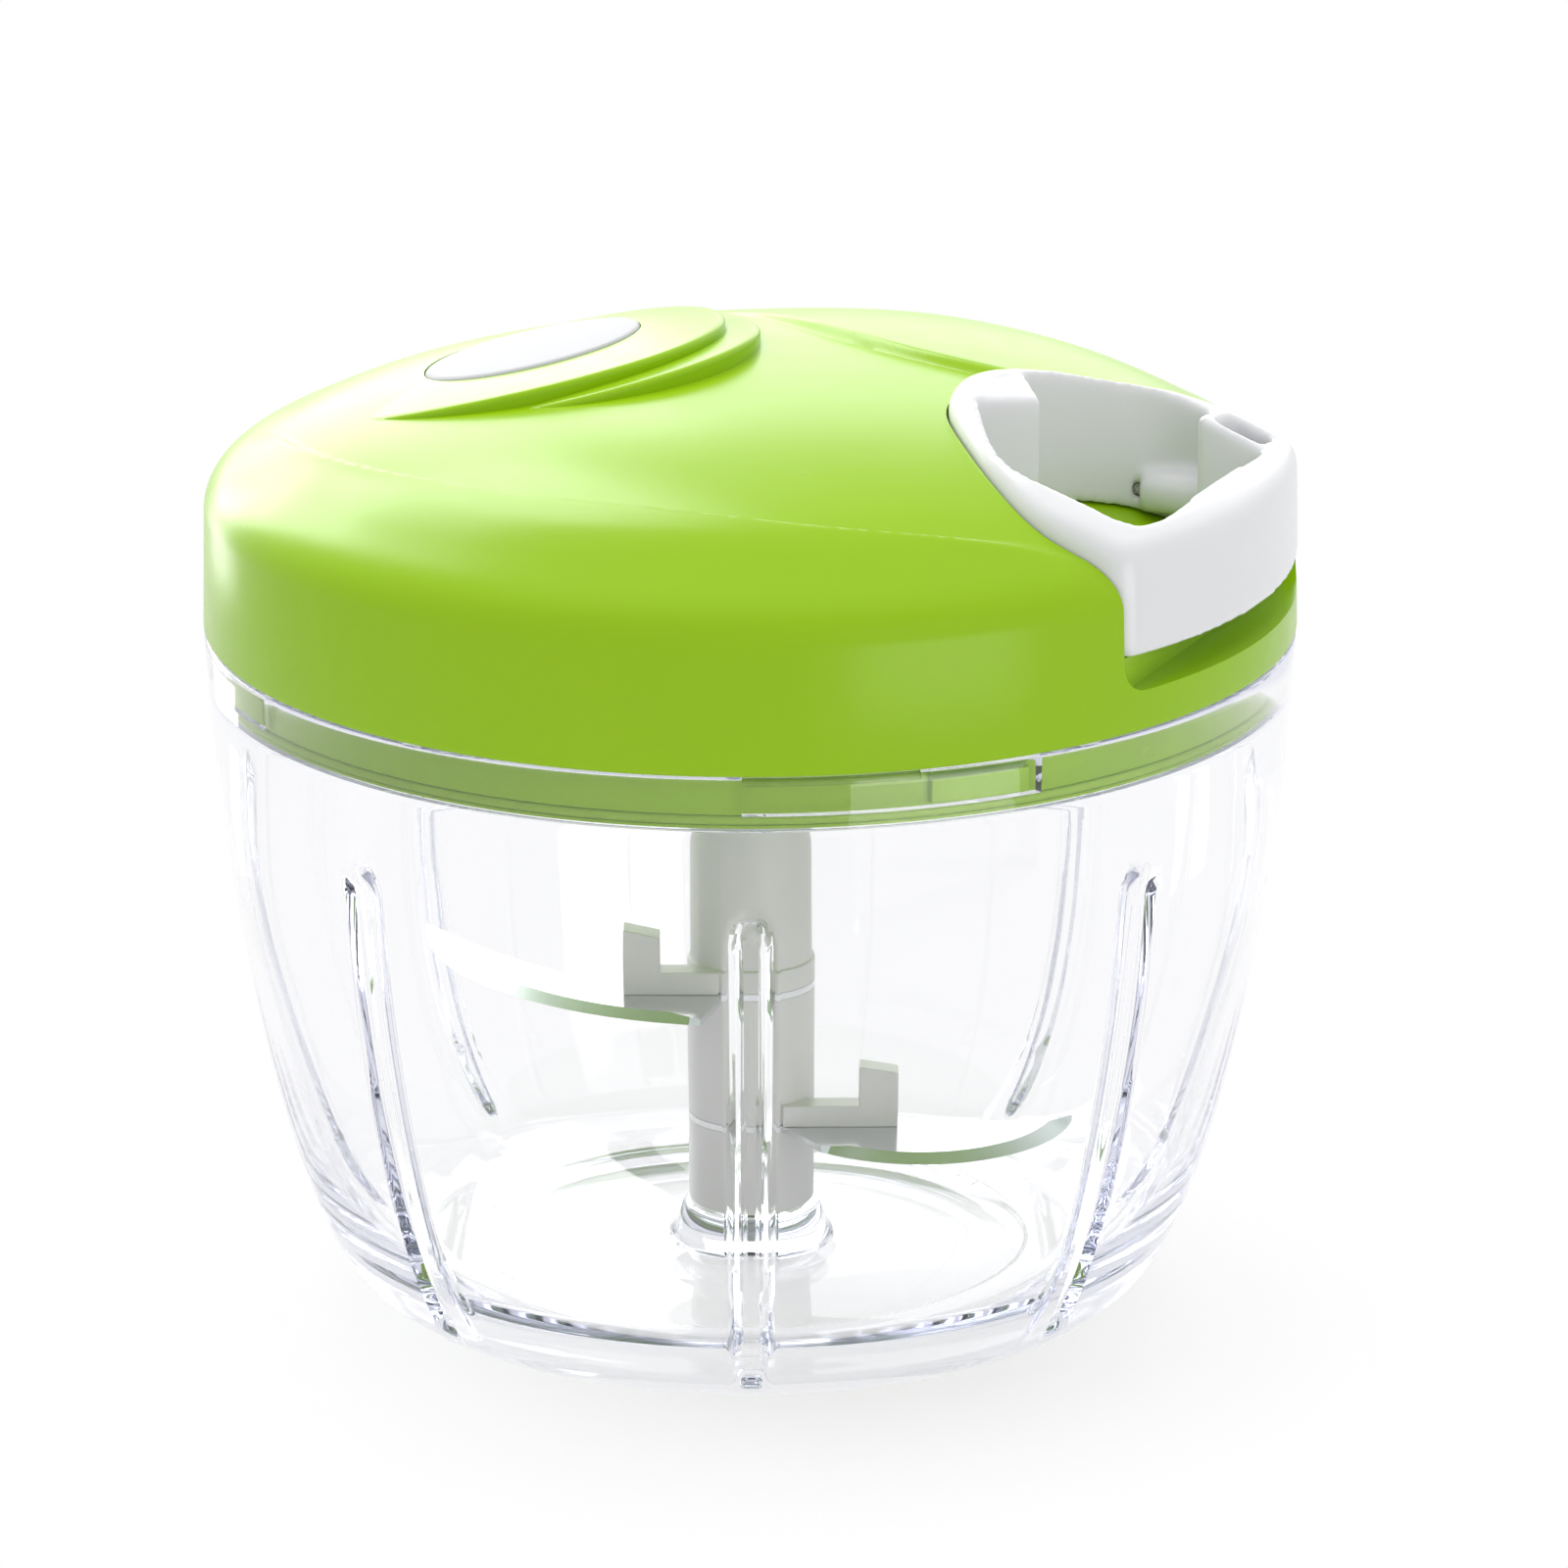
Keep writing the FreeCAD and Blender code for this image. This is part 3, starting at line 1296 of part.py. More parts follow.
def make_drive_hub():
    """The ratchet wheel, its shank and the two dogs that turn the column."""
    body = new_body("drive_hub")
    add_turning(body, "shank", [
        (0, hub_foot),
        (d.bearing_radius, hub_foot),
        (d.bearing_radius, hub_flange_level),
        (d.hub_flange_radius, hub_flange_level),
        (d.hub_flange_radius, hub_flange_top),
        (0, hub_flange_top),
    ])
    teeth = new_sketch(body, "teeth_section", "XY_Plane", hub_flange_top)
    pitch = 360.0 / n.tooth_count
    corners = []
    for step in range(int(n.tooth_count)):
        corners.append(polar(d.tooth_root_radius, step * pitch))
        corners.append(polar(d.tooth_tip_radius, (step + 1) * pitch))
    add_outline(teeth, corners)
    add_pad(body, "teeth", teeth, d.tooth_top_level - hub_flange_top)
    dogs = new_sketch(body, "dog_section", "XY_Plane", head_top + d.dog_end_gap)
    add_sector(dogs, d.dog_inner_radius, d.head_radius, d.column_turn + 90.0, d.dog_half_angle)
    dog = add_pad(body, "dog", dogs, hub_foot - head_top - d.dog_end_gap + 0.5)
    add_polar(body, "dogs", dog, dogs, 2)
    bore = new_sketch(body, "axle_bore_section", "XY_Plane", d.axle_foot_level - d.thrust_gap * 3)
    add_circle(bore, 0, 0, running_bore)
    add_pocket(body, "axle_bore", bore, d.tooth_top_level)


make_drive_hub()


def make_pawl(label, turn):
    """A pawl whose nose stands before a tooth's steep face."""
    lead = math.radians(n.pawl_lead_angle)
    pivot = Vector(n.pawl_circle_radius * math.cos(lead), n.pawl_circle_radius * math.sin(lead), 0)
    nose_inner = Vector(n.tooth_root_radius + 0.4, n.pawl_gap, 0)
    nose_outer = Vector(n.tooth_tip_radius + 1.0, n.pawl_gap, 0)
    belly = Vector(n.tooth_tip_radius - 0.15, n.pawl_gap + 2.6, 0)
    throat = Vector(pivot.x - n.pawl_eye_radius * 0.5, pivot.y - n.pawl_eye_radius * 0.8, 0)
    back = Vector(pivot.x + n.pawl_eye_radius * 0.97, pivot.y - n.pawl_eye_radius * 0.2, 0)
    outline = [nose_inner, nose_outer, back, pivot, throat, belly, nose_inner]
    lever = Part.Face(Part.makePolygon(outline)).extrude(Vector(0, 0, n.pawl_thickness))
    pawl = lever.fuse(Part.makeCylinder(n.pawl_eye_radius, n.pawl_thickness, pivot))
    bore = Part.makeCylinder(n.pawl_pin_radius + n.pawl_pin_gap, n.pawl_thickness + 2, pivot - UP)
    set_feature(label, pawl.cut(bore).removeSplitter(), turned_to(turn, pawl_level.value))


def make_pawl_spring(label, turn):
    """A thin bowed strip between the drum wall and the pawl's back."""
    wall_end = Vector(n.drum_inner_radius - 0.5, 1.5, 0)
    pawl_end = Vector(n.tooth_tip_radius + 2.3, 2.6, 0)
    bow = Vector(n.tooth_tip_radius + 4.6, 0.6, 0)
    thick = Vector(0, -n.pawl_spring_thickness, 0)
    outline = Part.Wire([
        Part.Arc(wall_end, bow, pawl_end).toShape(),
        line(pawl_end, pawl_end + thick),
        Part.Arc(pawl_end + thick, bow + thick, wall_end + thick).toShape(),
        line(wall_end + thick, wall_end),
    ])
    strip = Part.Face(outline).extrude(Vector(0, 0, n.pawl_thickness - n.pawl_gap * 2))
    set_feature(label, strip, turned_to(turn, pawl_level.value + n.pawl_gap))


make_pawl("pawl_a", 0)
make_pawl("pawl_b", 180)
make_pawl_spring("pawl_spring_a", 0)
make_pawl_spring("pawl_spring_b", 180)

retainer = new_body("pawl_retainer")
ring = new_sketch(retainer, "ring_section", "XY_Plane", retainer_level)
add_circle(ring, 0, 0, d.drum_inner_radius)
add_circle(ring, 0, 0, d.retainer_inner_radius)
for angle in pawl_angles:
    x, y = polar(d.pawl_circle_radius, angle)
    add_circle(ring, x, y, d.pawl_pin_radius)
add_pad(retainer, "ring", ring, d.retainer_thickness)


# Cord run from the drum to the knot in the handle

def make_cord_run():
    """The straight stretch of cord, its eyelet and its knot."""
    clear = n.winding_radius + n.cord_radius + n.cord_gap
    start = math.sqrt(clear ** 2 - (n.winding_radius - n.cord_radius) ** 2)
    stop = n.knot_x - n.knot_radius * 0.85
    set_feature("cord_lead", cord_bore(n.cord_radius, start, stop))
    knot = Part.makeSphere(n.knot_radius, Vector(n.knot_x, n.winding_radius, n.cord_level))
    set_feature("cord_knot", knot.cut(cord_bore(n.cord_radius, start, stop)))
    flange_start = n.eyelet_face_x - n.eyelet_flange_thickness
    eyelet = cord_bore(n.eyelet_radius, flange_start, flange_start + n.eyelet_length)
    eyelet = eyelet.fuse(cord_bore(n.eyelet_flange_radius, flange_start, n.eyelet_face_x))
    eyelet = eyelet.cut(cord_bore(n.cord_radius + n.eyelet_bore_gap, 0, n.handle_side_x))
    set_feature("cord_eyelet", eyelet.removeSplitter())


make_cord_run()


def check_and_write():
    """Stops on any failed object, then writes one file for each sub-part."""
    doc.recompute()
    for item in doc.Objects:
        if "Invalid" in item.State or "Error" in item.State:
            raise RuntimeError(item.Label + " failed: " + ", ".join(item.State))
    os.makedirs("parts", exist_ok=True)
    for item in pieces:
        shape = item.Shape
        if shape.isNull() or not shape.isValid() or not shape.Solids:
            raise RuntimeError(item.Label + " has no valid solid")
        shape.exportStep("parts/" + item.Label + ".step")
        print(item.Label, len(shape.Solids), round(shape.Volume, 1))


check_and_write()
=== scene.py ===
"""The looks of a pull-string food chopper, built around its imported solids.

A clear fluted bowl stands on a pale floor. Inside it a white column carries two steel blades,
and a lime lid with a white finger loop hides the cord reel and its clutch. Every length is
written in millimetres and becomes metres where a mesh is made. The frame is the CAD's own:
the origin is the centre of the bowl's resting face, +Z is up and the loop pulls out along +X.
"""

from __future__ import annotations

import json
import logging
import math
from dataclasses import dataclass, field
from enum import Enum
from typing import Callable, Iterable, Optional, Sequence

import bmesh
import bpy
import numpy as np
from mathutils import Matrix, Vector
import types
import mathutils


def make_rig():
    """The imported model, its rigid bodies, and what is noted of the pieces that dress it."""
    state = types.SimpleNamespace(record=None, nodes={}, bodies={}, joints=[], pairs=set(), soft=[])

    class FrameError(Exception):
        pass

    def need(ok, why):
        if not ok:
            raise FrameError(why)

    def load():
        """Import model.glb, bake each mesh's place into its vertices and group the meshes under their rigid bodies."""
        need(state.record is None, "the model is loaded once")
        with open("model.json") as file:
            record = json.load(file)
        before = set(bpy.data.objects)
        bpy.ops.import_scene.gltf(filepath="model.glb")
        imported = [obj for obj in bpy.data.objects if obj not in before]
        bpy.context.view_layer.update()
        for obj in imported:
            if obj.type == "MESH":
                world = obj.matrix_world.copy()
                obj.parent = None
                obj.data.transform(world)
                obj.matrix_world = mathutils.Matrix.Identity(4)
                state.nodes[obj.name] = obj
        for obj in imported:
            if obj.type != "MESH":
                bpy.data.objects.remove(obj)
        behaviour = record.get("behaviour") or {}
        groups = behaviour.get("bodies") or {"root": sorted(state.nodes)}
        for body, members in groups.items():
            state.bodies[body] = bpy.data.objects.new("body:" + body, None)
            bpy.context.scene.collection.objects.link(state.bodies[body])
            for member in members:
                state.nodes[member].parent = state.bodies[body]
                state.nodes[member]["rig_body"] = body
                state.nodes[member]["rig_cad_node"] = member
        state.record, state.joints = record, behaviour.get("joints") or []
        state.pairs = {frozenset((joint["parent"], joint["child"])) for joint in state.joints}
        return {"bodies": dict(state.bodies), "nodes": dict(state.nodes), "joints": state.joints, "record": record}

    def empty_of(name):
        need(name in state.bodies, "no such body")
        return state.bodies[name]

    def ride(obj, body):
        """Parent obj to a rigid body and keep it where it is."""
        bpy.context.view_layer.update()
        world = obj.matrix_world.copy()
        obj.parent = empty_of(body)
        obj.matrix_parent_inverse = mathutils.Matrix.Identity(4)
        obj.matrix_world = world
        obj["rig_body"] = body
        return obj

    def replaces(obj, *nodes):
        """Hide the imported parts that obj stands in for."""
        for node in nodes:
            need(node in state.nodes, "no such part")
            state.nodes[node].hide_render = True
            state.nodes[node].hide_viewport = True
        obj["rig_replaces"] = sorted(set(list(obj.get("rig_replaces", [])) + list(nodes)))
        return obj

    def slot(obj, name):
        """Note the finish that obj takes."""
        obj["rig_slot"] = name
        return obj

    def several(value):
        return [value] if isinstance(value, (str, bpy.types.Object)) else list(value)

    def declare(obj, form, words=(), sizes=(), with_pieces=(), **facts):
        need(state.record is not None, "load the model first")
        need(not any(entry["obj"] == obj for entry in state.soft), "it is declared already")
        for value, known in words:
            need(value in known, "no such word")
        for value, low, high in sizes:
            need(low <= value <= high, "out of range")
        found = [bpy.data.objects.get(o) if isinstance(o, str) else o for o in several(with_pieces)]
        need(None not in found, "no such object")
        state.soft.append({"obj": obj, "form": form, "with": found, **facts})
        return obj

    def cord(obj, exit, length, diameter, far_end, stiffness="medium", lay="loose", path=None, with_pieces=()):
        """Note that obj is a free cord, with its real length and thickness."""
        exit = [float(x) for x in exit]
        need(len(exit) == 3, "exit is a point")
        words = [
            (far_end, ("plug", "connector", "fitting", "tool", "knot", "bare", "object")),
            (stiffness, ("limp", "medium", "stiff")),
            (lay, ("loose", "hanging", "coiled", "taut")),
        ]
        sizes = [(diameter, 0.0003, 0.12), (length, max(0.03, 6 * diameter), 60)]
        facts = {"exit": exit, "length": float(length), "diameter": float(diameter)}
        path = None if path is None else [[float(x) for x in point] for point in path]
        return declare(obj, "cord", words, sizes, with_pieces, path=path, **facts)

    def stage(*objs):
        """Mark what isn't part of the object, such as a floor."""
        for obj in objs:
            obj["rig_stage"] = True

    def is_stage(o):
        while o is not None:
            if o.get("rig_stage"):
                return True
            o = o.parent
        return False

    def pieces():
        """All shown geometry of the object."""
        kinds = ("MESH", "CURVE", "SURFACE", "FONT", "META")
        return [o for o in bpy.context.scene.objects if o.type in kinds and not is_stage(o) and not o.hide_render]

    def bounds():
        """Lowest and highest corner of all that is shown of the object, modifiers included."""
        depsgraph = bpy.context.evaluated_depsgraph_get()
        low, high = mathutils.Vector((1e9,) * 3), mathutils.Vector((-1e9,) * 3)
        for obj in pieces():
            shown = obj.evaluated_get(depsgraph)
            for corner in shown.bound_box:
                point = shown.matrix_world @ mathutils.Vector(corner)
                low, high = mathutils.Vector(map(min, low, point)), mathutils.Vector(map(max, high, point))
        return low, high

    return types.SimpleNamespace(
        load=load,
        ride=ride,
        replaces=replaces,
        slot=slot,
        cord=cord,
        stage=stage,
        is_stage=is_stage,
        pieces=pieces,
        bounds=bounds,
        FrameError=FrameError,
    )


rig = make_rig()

LOG = logging.getLogger("food_chopper")
MM = 0.001
# Vertices nearer than these, in metres, become one
MERGE_GAP = 0.000002
CAD_MERGE_GAP = 0.000004
# Angles between faces, in degrees: flatter ones merge, and sharper ones are rounded
FLAT_ANGLE = 0.6
SHARP_ANGLE = 40.0
ROUNDING_FACES = 3
ORIGIN = Vector((0.0, 0.0, 0.0))
UP = Vector((0.0, 0.0, 1.0))
WHITE_LIGHT = (1.0, 1.0, 1.0, 1.0)
Point2 = tuple[float, float]
Colour = tuple[float, float, float]
Surface = Callable[[np.ndarray, np.ndarray], np.ndarray]


class Body(Enum):
    """The CAD bodies that pieces ride on."""

    BOWL = "bowl"
    SEAL = "seal"
    LID = "lid"
    SPINDLE = "spindle"
    REEL = "reel"
    DRIVE = "drive"
    PAWL_A = "pawl_a"
    PAWL_B = "pawl_b"
    HANDLE = "handle"


class Slot(Enum):
    """The record's material slots."""

    CLEAR = "clear_plastic"
    LIME = "lime_plastic"
    GLOSS_WHITE = "white_gloss_plastic"
    WHITE = "white_plastic"
    INNER = "inner_plastic"
    SILICONE = "silicone"
    STEEL = "steel"
    BLADE = "blade_steel"
    SPRING = "spring_steel"
    CORD = "cord_fabric"


class Carving(Enum):
    """How one solid works on another."""

    CUT = "DIFFERENCE"
    JOIN = "UNION"
    KEEP_COMMON = "INTERSECT"


class Shines(Enum):
    """Which surfaces a lamp lights."""

    ON_ALL = "all"
    ON_MATT = "matt"
    ON_GLOSS = "gloss"


# Finishes


class Nodes:
    """A short hand for building the node tree of a material or of the world."""

    def __init__(self, owner: bpy.types.Material | bpy.types.World,
                 output: str = "OutputMaterial") -> None:
        """Empties the owner's node tree but for its output.

        Args:
            owner: The material or the world.
            output: The output's type, without its ShaderNode prefix.
        """
        owner.use_nodes = True
        self.owner = owner
        self.tree = owner.node_tree
        self.tree.nodes.clear()
        self.output = self.add(output)

    def add(self, kind: str, **values: object) -> bpy.types.Node:
        """Adds a node.

        Args:
            kind: The node's type, without its ShaderNode prefix.
            values: Properties of the node, or values of its input sockets.

        Returns:
            The new node.
        """
        node = self.tree.nodes.new("ShaderNode" + kind)
        for name, value in values.items():
            socket = node.inputs.get(name.replace("_", " "))
            if socket is not None:
                socket.default_value = value
            else:
                setattr(node, name, value)
        return node

    def link(self, source: bpy.types.NodeSocket, target: bpy.types.NodeSocket) -> None:
        """Joins two sockets."""
        self.tree.links.new(source, target)

    def place(self, stretch: Sequence[float] = (1.0, 1.0, 1.0)) -> bpy.types.NodeSocket:
        """Gives the piece's own coordinates.

        Args:
            stretch: The scale of the coordinates along each axis.

        Returns:
            The socket that holds the stretched coordinates.
        """
        where = self.add("TexCoord")
        mapping = self.add("Mapping", Scale=stretch)
        self.link(where.outputs["Object"], mapping.inputs["Vector"])
        return mapping.outputs["Vector"]

    def noise(self, scale: float, detail: float = 3.0,
              stretch: Sequence[float] = (1.0, 1.0, 1.0)) -> bpy.types.NodeSocket:
        """Adds a noise pattern.

        Args:
            scale: The pattern's scale, in waves per metre.
            detail: How many finer layers it has.
            stretch: The scale of the coordinates along each axis.

        Returns:
            The socket that holds the noise, from 0 to 1.
        """
        node = self.add("TexNoise", Scale=scale, Detail=detail)
        self.link(self.place(stretch), node.inputs["Vector"])
        return node.outputs["Fac"]

    def between(self, value: bpy.types.NodeSocket, low: float, high: float) -> bpy.types.NodeSocket:
        """Maps a value from 0..1 to a range.

        Args:
            value: The socket to map.
            low: The result at 0.
            high: The result at 1.

        Returns:
            The socket that holds the result.
        """
        node = self.add("MapRange", To_Min=low, To_Max=high)
        self.link(value, node.inputs["Value"])
        return node.outputs["Result"]

    def blend(self, value: bpy.types.NodeSocket, first: Colour, second: Colour) -> bpy.types.NodeSocket:
        """Blends two colours.

        Args:
            value: The socket that says how much of the second colour shows.
            first: The colour at 0.
            second: The colour at 1.

        Returns:
            The socket that holds the blended colour.
        """
        node = self.add("ValToRGB")
        node.color_ramp.elements[0].color = (*first, 1.0)
        node.color_ramp.elements[1].color = (*second, 1.0)
        self.link(value, node.inputs["Fac"])
        return node.outputs["Color"]

    def bump(self, height: bpy.types.NodeSocket, depth: float,
             after: Optional[bpy.types.NodeSocket] = None) -> bpy.types.NodeSocket:
        """Adds a bump.

        Args:
            height: The socket that holds the height, from 0 to 1.
            depth: The bump's depth in metres.
            after: A normal that this bump is laid over.

        Returns:
            The socket that holds the bent normal.
        """
        node = self.add("Bump", Strength=1.0, Distance=depth)
        self.link(height, node.inputs["Height"])
        if after is not None:
            self.link(after, node.inputs["Normal"])
        return node.outputs["Normal"]

    def seen(self) -> bpy.types.NodeSocket:
        """Tells the rays that show a surface to the eye from those that only light others.

        Returns:
            The socket that holds 1 for camera, glossy and transmission rays, and 0 for the rest.
        """
        rays = self.add("LightPath")
        found = rays.outputs["Is Camera Ray"]
        for kind in ("Is Glossy Ray", "Is Transmission Ray"):
            either = self.add("Math", operation="MAXIMUM")
            self.link(found, either.inputs[0])
            self.link(rays.outputs[kind], either.inputs[1])
            found = either.outputs[0]
        return found

    def surface(self, colour: bpy.types.NodeSocket, roughness: bpy.types.NodeSocket,
                normal: bpy.types.NodeSocket, **values: object) -> bpy.types.Node:
        """Adds the shader of a surface.

        Args:
            colour: The socket that holds its colour.
            roughness: The socket that holds its roughness.
            normal: The socket that holds its bent normal.
            values: Values of the shader's other sockets.

        Returns:
            The shader node.
        """
        shader = self.add("BsdfPrincipled", **values)
        for name, source in (("Base Color", colour), ("Roughness", roughness), ("Normal", normal)):
            self.link(source, shader.inputs[name])
        return shader

    def finish(self, shader: bpy.types.Node) -> bpy.types.Material | bpy.types.World:
        """Joins the last shader node to the output and gives the finished owner."""
        self.link(shader.outputs[0], self.output.inputs["Surface"])
        return self.owner


@dataclass(frozen=True)
class MouldedPlastic:
    """Opaque plastic from a polished mould, with faint flow shades and a soft orange peel."""

    name: str
    colour: Colour
    shade: Colour
    gloss: tuple[float, float]
    peel: float = 0.000012
    shine: float = 0.5
    flow_scale: float = 38.0
    handling_scale: float = 260.0
    wave_scale: float = 190.0
    grain_scale: float = 5200.0
    grain_share: float = 0.12

    def material(self) -> bpy.types.Material:
        """Builds the material.

        Returns:
            The finished material.
        """
        nodes = Nodes(bpy.data.materials.new(self.name))
        wave = nodes.bump(nodes.noise(self.wave_scale, 1.0), self.peel)
        return nodes.finish(nodes.surface(
            nodes.blend(nodes.noise(self.flow_scale, 4.0), self.shade, self.colour),
            nodes.between(nodes.noise(self.handling_scale, 5.0), *self.gloss),
            nodes.bump(nodes.noise(self.grain_scale, 2.0), self.peel * self.grain_share, wave),
            IOR=1.5, Specular_IOR_Level=self.shine))


@dataclass(frozen=True)
class ClearPlastic:
    """Water-clear plastic whose long paths turn faintly grey, and that lets lamp light through."""

    name: str
    tint: Colour = (0.985, 0.985, 0.99)
    absorbed: Colour = (0.78, 0.79, 0.88)
    density: float = 26.0
    haze: float = 0.035
    ripple: float = 0.00003

    def material(self) -> bpy.types.Material:
        """Builds the material.

        Returns:
            The finished material.
        """
        nodes = Nodes(bpy.data.materials.new(self.name))
        shader = nodes.surface(nodes.blend(nodes.noise(55.0), self.tint, WHITE_LIGHT[:3]),
                               nodes.between(nodes.noise(240.0, 4.0), 0.0, self.haze),
                               nodes.bump(nodes.noise(70.0, 1.0), self.ripple),
                               IOR=1.49, Transmission_Weight=1.0)
        inside = nodes.add("VolumeAbsorption", Color=(*self.absorbed, 1.0), Density=self.density)
        nodes.link(inside.outputs[0], nodes.output.inputs["Volume"])
        lit = nodes.add("MixShader")
        nodes.link(nodes.add("LightPath").outputs["Is Shadow Ray"], lit.inputs["Fac"])
        nodes.link(shader.outputs[0], lit.inputs[1])
        nodes.link(nodes.add("BsdfTransparent").outputs[0], lit.inputs[2])
        return nodes.finish(lit)


@dataclass(frozen=True)
class Steel:
    """Bare steel with the fine lines that its last tool left."""

    name: str
    colour: Colour
    roughness: tuple[float, float]
    lines: Sequence[float] = (1.0, 1.0, 1.0)
    depth: float = 0.000006
    darkening: float = 0.86

    def material(self) -> bpy.types.Material:
        """Builds the material.

        Returns:
            The finished material.
        """
        nodes = Nodes(bpy.data.materials.new(self.name))
        grain = nodes.noise(900.0, 4.0, self.lines)
        darker = tuple(part * self.darkening for part in self.colour)
        return nodes.finish(nodes.surface(
            nodes.blend(grain, darker, self.colour), nodes.between(grain, *self.roughness),
            nodes.bump(grain, self.depth), Metallic=1.0))


@dataclass(frozen=True)
class Silicone:
    """Soft translucent sealing rubber with a dusty skin."""

    name: str
    colour: Colour = (0.30, 0.50, 0.03)
    paling: float = 1.12
    glow_depth: float = 0.002

    def material(self) -> bpy.types.Material:
        """Builds the material.

        Returns:
            The finished material.
        """
        nodes = Nodes(bpy.data.materials.new(self.name))
        paler = tuple(min(1.0, part * self.paling) for part in self.colour)
        return nodes.finish(nodes.surface(
            nodes.blend(nodes.noise(300.0, 5.0), self.colour, paler),
            nodes.between(nodes.noise(1500.0), 0.45, 0.65), nodes.bump(nodes.noise(2600.0), 0.00001),
            IOR=1.42, Subsurface_Weight=0.25, Subsurface_Radius=(self.glow_depth,) * 3))


@dataclass(frozen=True)
class BraidedCord:
    """A braided cord: two sets of strands that cross, seen as fine slanted ridges, with painted shade in the gaps
    between the strands.
    """

    name: str
    colour: Colour = (0.84, 0.84, 0.80)
    # gaps: painted shade, the darker colour where the strands dip between each other
    gaps: Colour = (0.42, 0.42, 0.38)
    pitch: float = 950.0
    ridge: float = 0.00012

    def material(self) -> bpy.types.Material:
        """Builds the material.

        Returns:
            The finished material.
        """
        nodes = Nodes(bpy.data.materials.new(self.name))
        braid = nodes.add("Math", operation="MULTIPLY")
        for lean, strand in zip((1.0, -1.0), braid.inputs):
            wave = nodes.add("TexWave", Scale=self.pitch, Distortion=0.6)
            wave.bands_direction = "DIAGONAL"
            nodes.link(nodes.place((1.0, lean, lean * 0.8)), wave.inputs["Vector"])
            nodes.link(wave.outputs["Fac"], strand)
        height = braid.outputs[0]
        return nodes.finish(nodes.surface(
            # The colour darkens from the strands' tops down into the gaps between them: painted shade
            nodes.blend(height, self.gaps, self.colour), nodes.between(nodes.noise(4000.0), 0.75, 0.95),
            nodes.bump(height, self.ridge), IOR=1.45, Sheen_Weight=0.4))


@dataclass(frozen=True)
class FinishShelf:
    """Every finish of the chopper, made once and shared by its pieces."""

    lime: MouldedPlastic = MouldedPlastic(
        "lime_moulded", (0.300, 0.530, 0.002), (0.282, 0.508, 0.001), (0.20, 0.30),
        peel=0.000004, shine=0.27)
    gloss_white: MouldedPlastic = MouldedPlastic(
        "white_polished", (0.765, 0.770, 0.785), (0.735, 0.740, 0.758), (0.20, 0.30), peel=0.000004)
    badge: MouldedPlastic = MouldedPlastic(
        "badge_polished", (0.56, 0.57, 0.58), (0.54, 0.55, 0.562), (0.48, 0.58), shine=0.06)
    white: MouldedPlastic = MouldedPlastic(
        "white_moulded", (0.645, 0.645, 0.635), (0.62, 0.62, 0.61), (0.28, 0.42))
    inner: MouldedPlastic = MouldedPlastic(
        "inner_moulded", (0.70, 0.70, 0.67), (0.63, 0.63, 0.60), (0.42, 0.58), peel=0.00002)
    clear: ClearPlastic = ClearPlastic("clear_moulded")
    blade: Steel = Steel("blade_ground", (0.72, 0.735, 0.745), (0.10, 0.20), (1.0, 9.0, 1.0))
    turned: Steel = Steel("steel_turned", (0.66, 0.67, 0.69), (0.20, 0.36), (1.0, 1.0, 12.0))
    ground_edge: Steel = Steel("blade_edge", (0.74, 0.81, 0.82), (0.38, 0.52), (9.0, 1.0, 1.0))
    spring: Steel = Steel("spring_strip", (0.46, 0.48, 0.53), (0.22, 0.38), (1.0, 1.0, 8.0))
    silicone: Silicone = Silicone("seal_rubber")
    cord: BraidedCord = BraidedCord("cord_braid")


class Palette:
    """Gives each finish's material, built the first time it is asked for."""

    def __init__(self, shelf: FinishShelf) -> None:
        """Keeps the shelf of finishes."""
        self.shelf = shelf
        self._made: dict[str, bpy.types.Material] = {}

    def __call__(self, finish: object) -> bpy.types.Material:
        """Gives a finish's material.

        Args:
            finish: One of the shelf's finishes.

        Returns:
            Its material.
        """
        if finish.name not in self._made:
            self._made[finish.name] = finish.material()
        return self._made[finish.name]


# Shaping


def smooth_run(points: Sequence[Point2], start: Point2, end: Point2, count: int) -> list[Point2]:
    """Draws a smooth line through points with a given direction at each end.

    Args:
        points: The points that the line passes.
        start: The unit direction at the first point.
        end: The unit direction at the last point.
        count: How many points the drawn line has.

    Returns:
        The line's points, evenly spaced along it.
    """
    knots = np.array(points, float)
    steps = np.linalg.norm(np.diff(knots, axis=0), axis=1)
    at = np.concatenate([[0.0], np.cumsum(steps)])
    size = len(knots)
    matrix = np.eye(size)
    right = np.zeros((size, 2))
    right[0], right[-1] = start, end
    for i in range(1, size - 1):
        before, after = steps[i - 1], steps[i]
        matrix[i, i - 1: i + 2] = (after, 2.0 * (before + after), before)
        right[i] = 3.0 * (after * (knots[i] - knots[i - 1]) / before
                          + before * (knots[i + 1] - knots[i]) / after)
    slopes = np.linalg.solve(matrix, right)
    fine = np.linspace(0.0, at[-1], count * 8)
    span = np.clip(np.searchsorted(at, fine, side="right") - 1, 0, size - 2)
    width = steps[span][:, None]
    share = ((fine - at[span]) / steps[span])[:, None]
    drawn = ((2 * share**3 - 3 * share**2 + 1) * knots[span]
             + (share**3 - 2 * share**2 + share) * width * slopes[span]
             + (-2 * share**3 + 3 * share**2) * knots[span + 1]
             + (share**3 - share**2) * width * slopes[span + 1])
    travelled = np.concatenate([[0.0], np.cumsum(np.linalg.norm(np.diff(drawn, axis=0), axis=1))])
    wanted = np.linspace(0.0, travelled[-1], count)
    return [(float(np.interp(w, travelled, drawn[:, 0])), float(np.interp(w, travelled, drawn[:, 1])))
            for w in wanted]


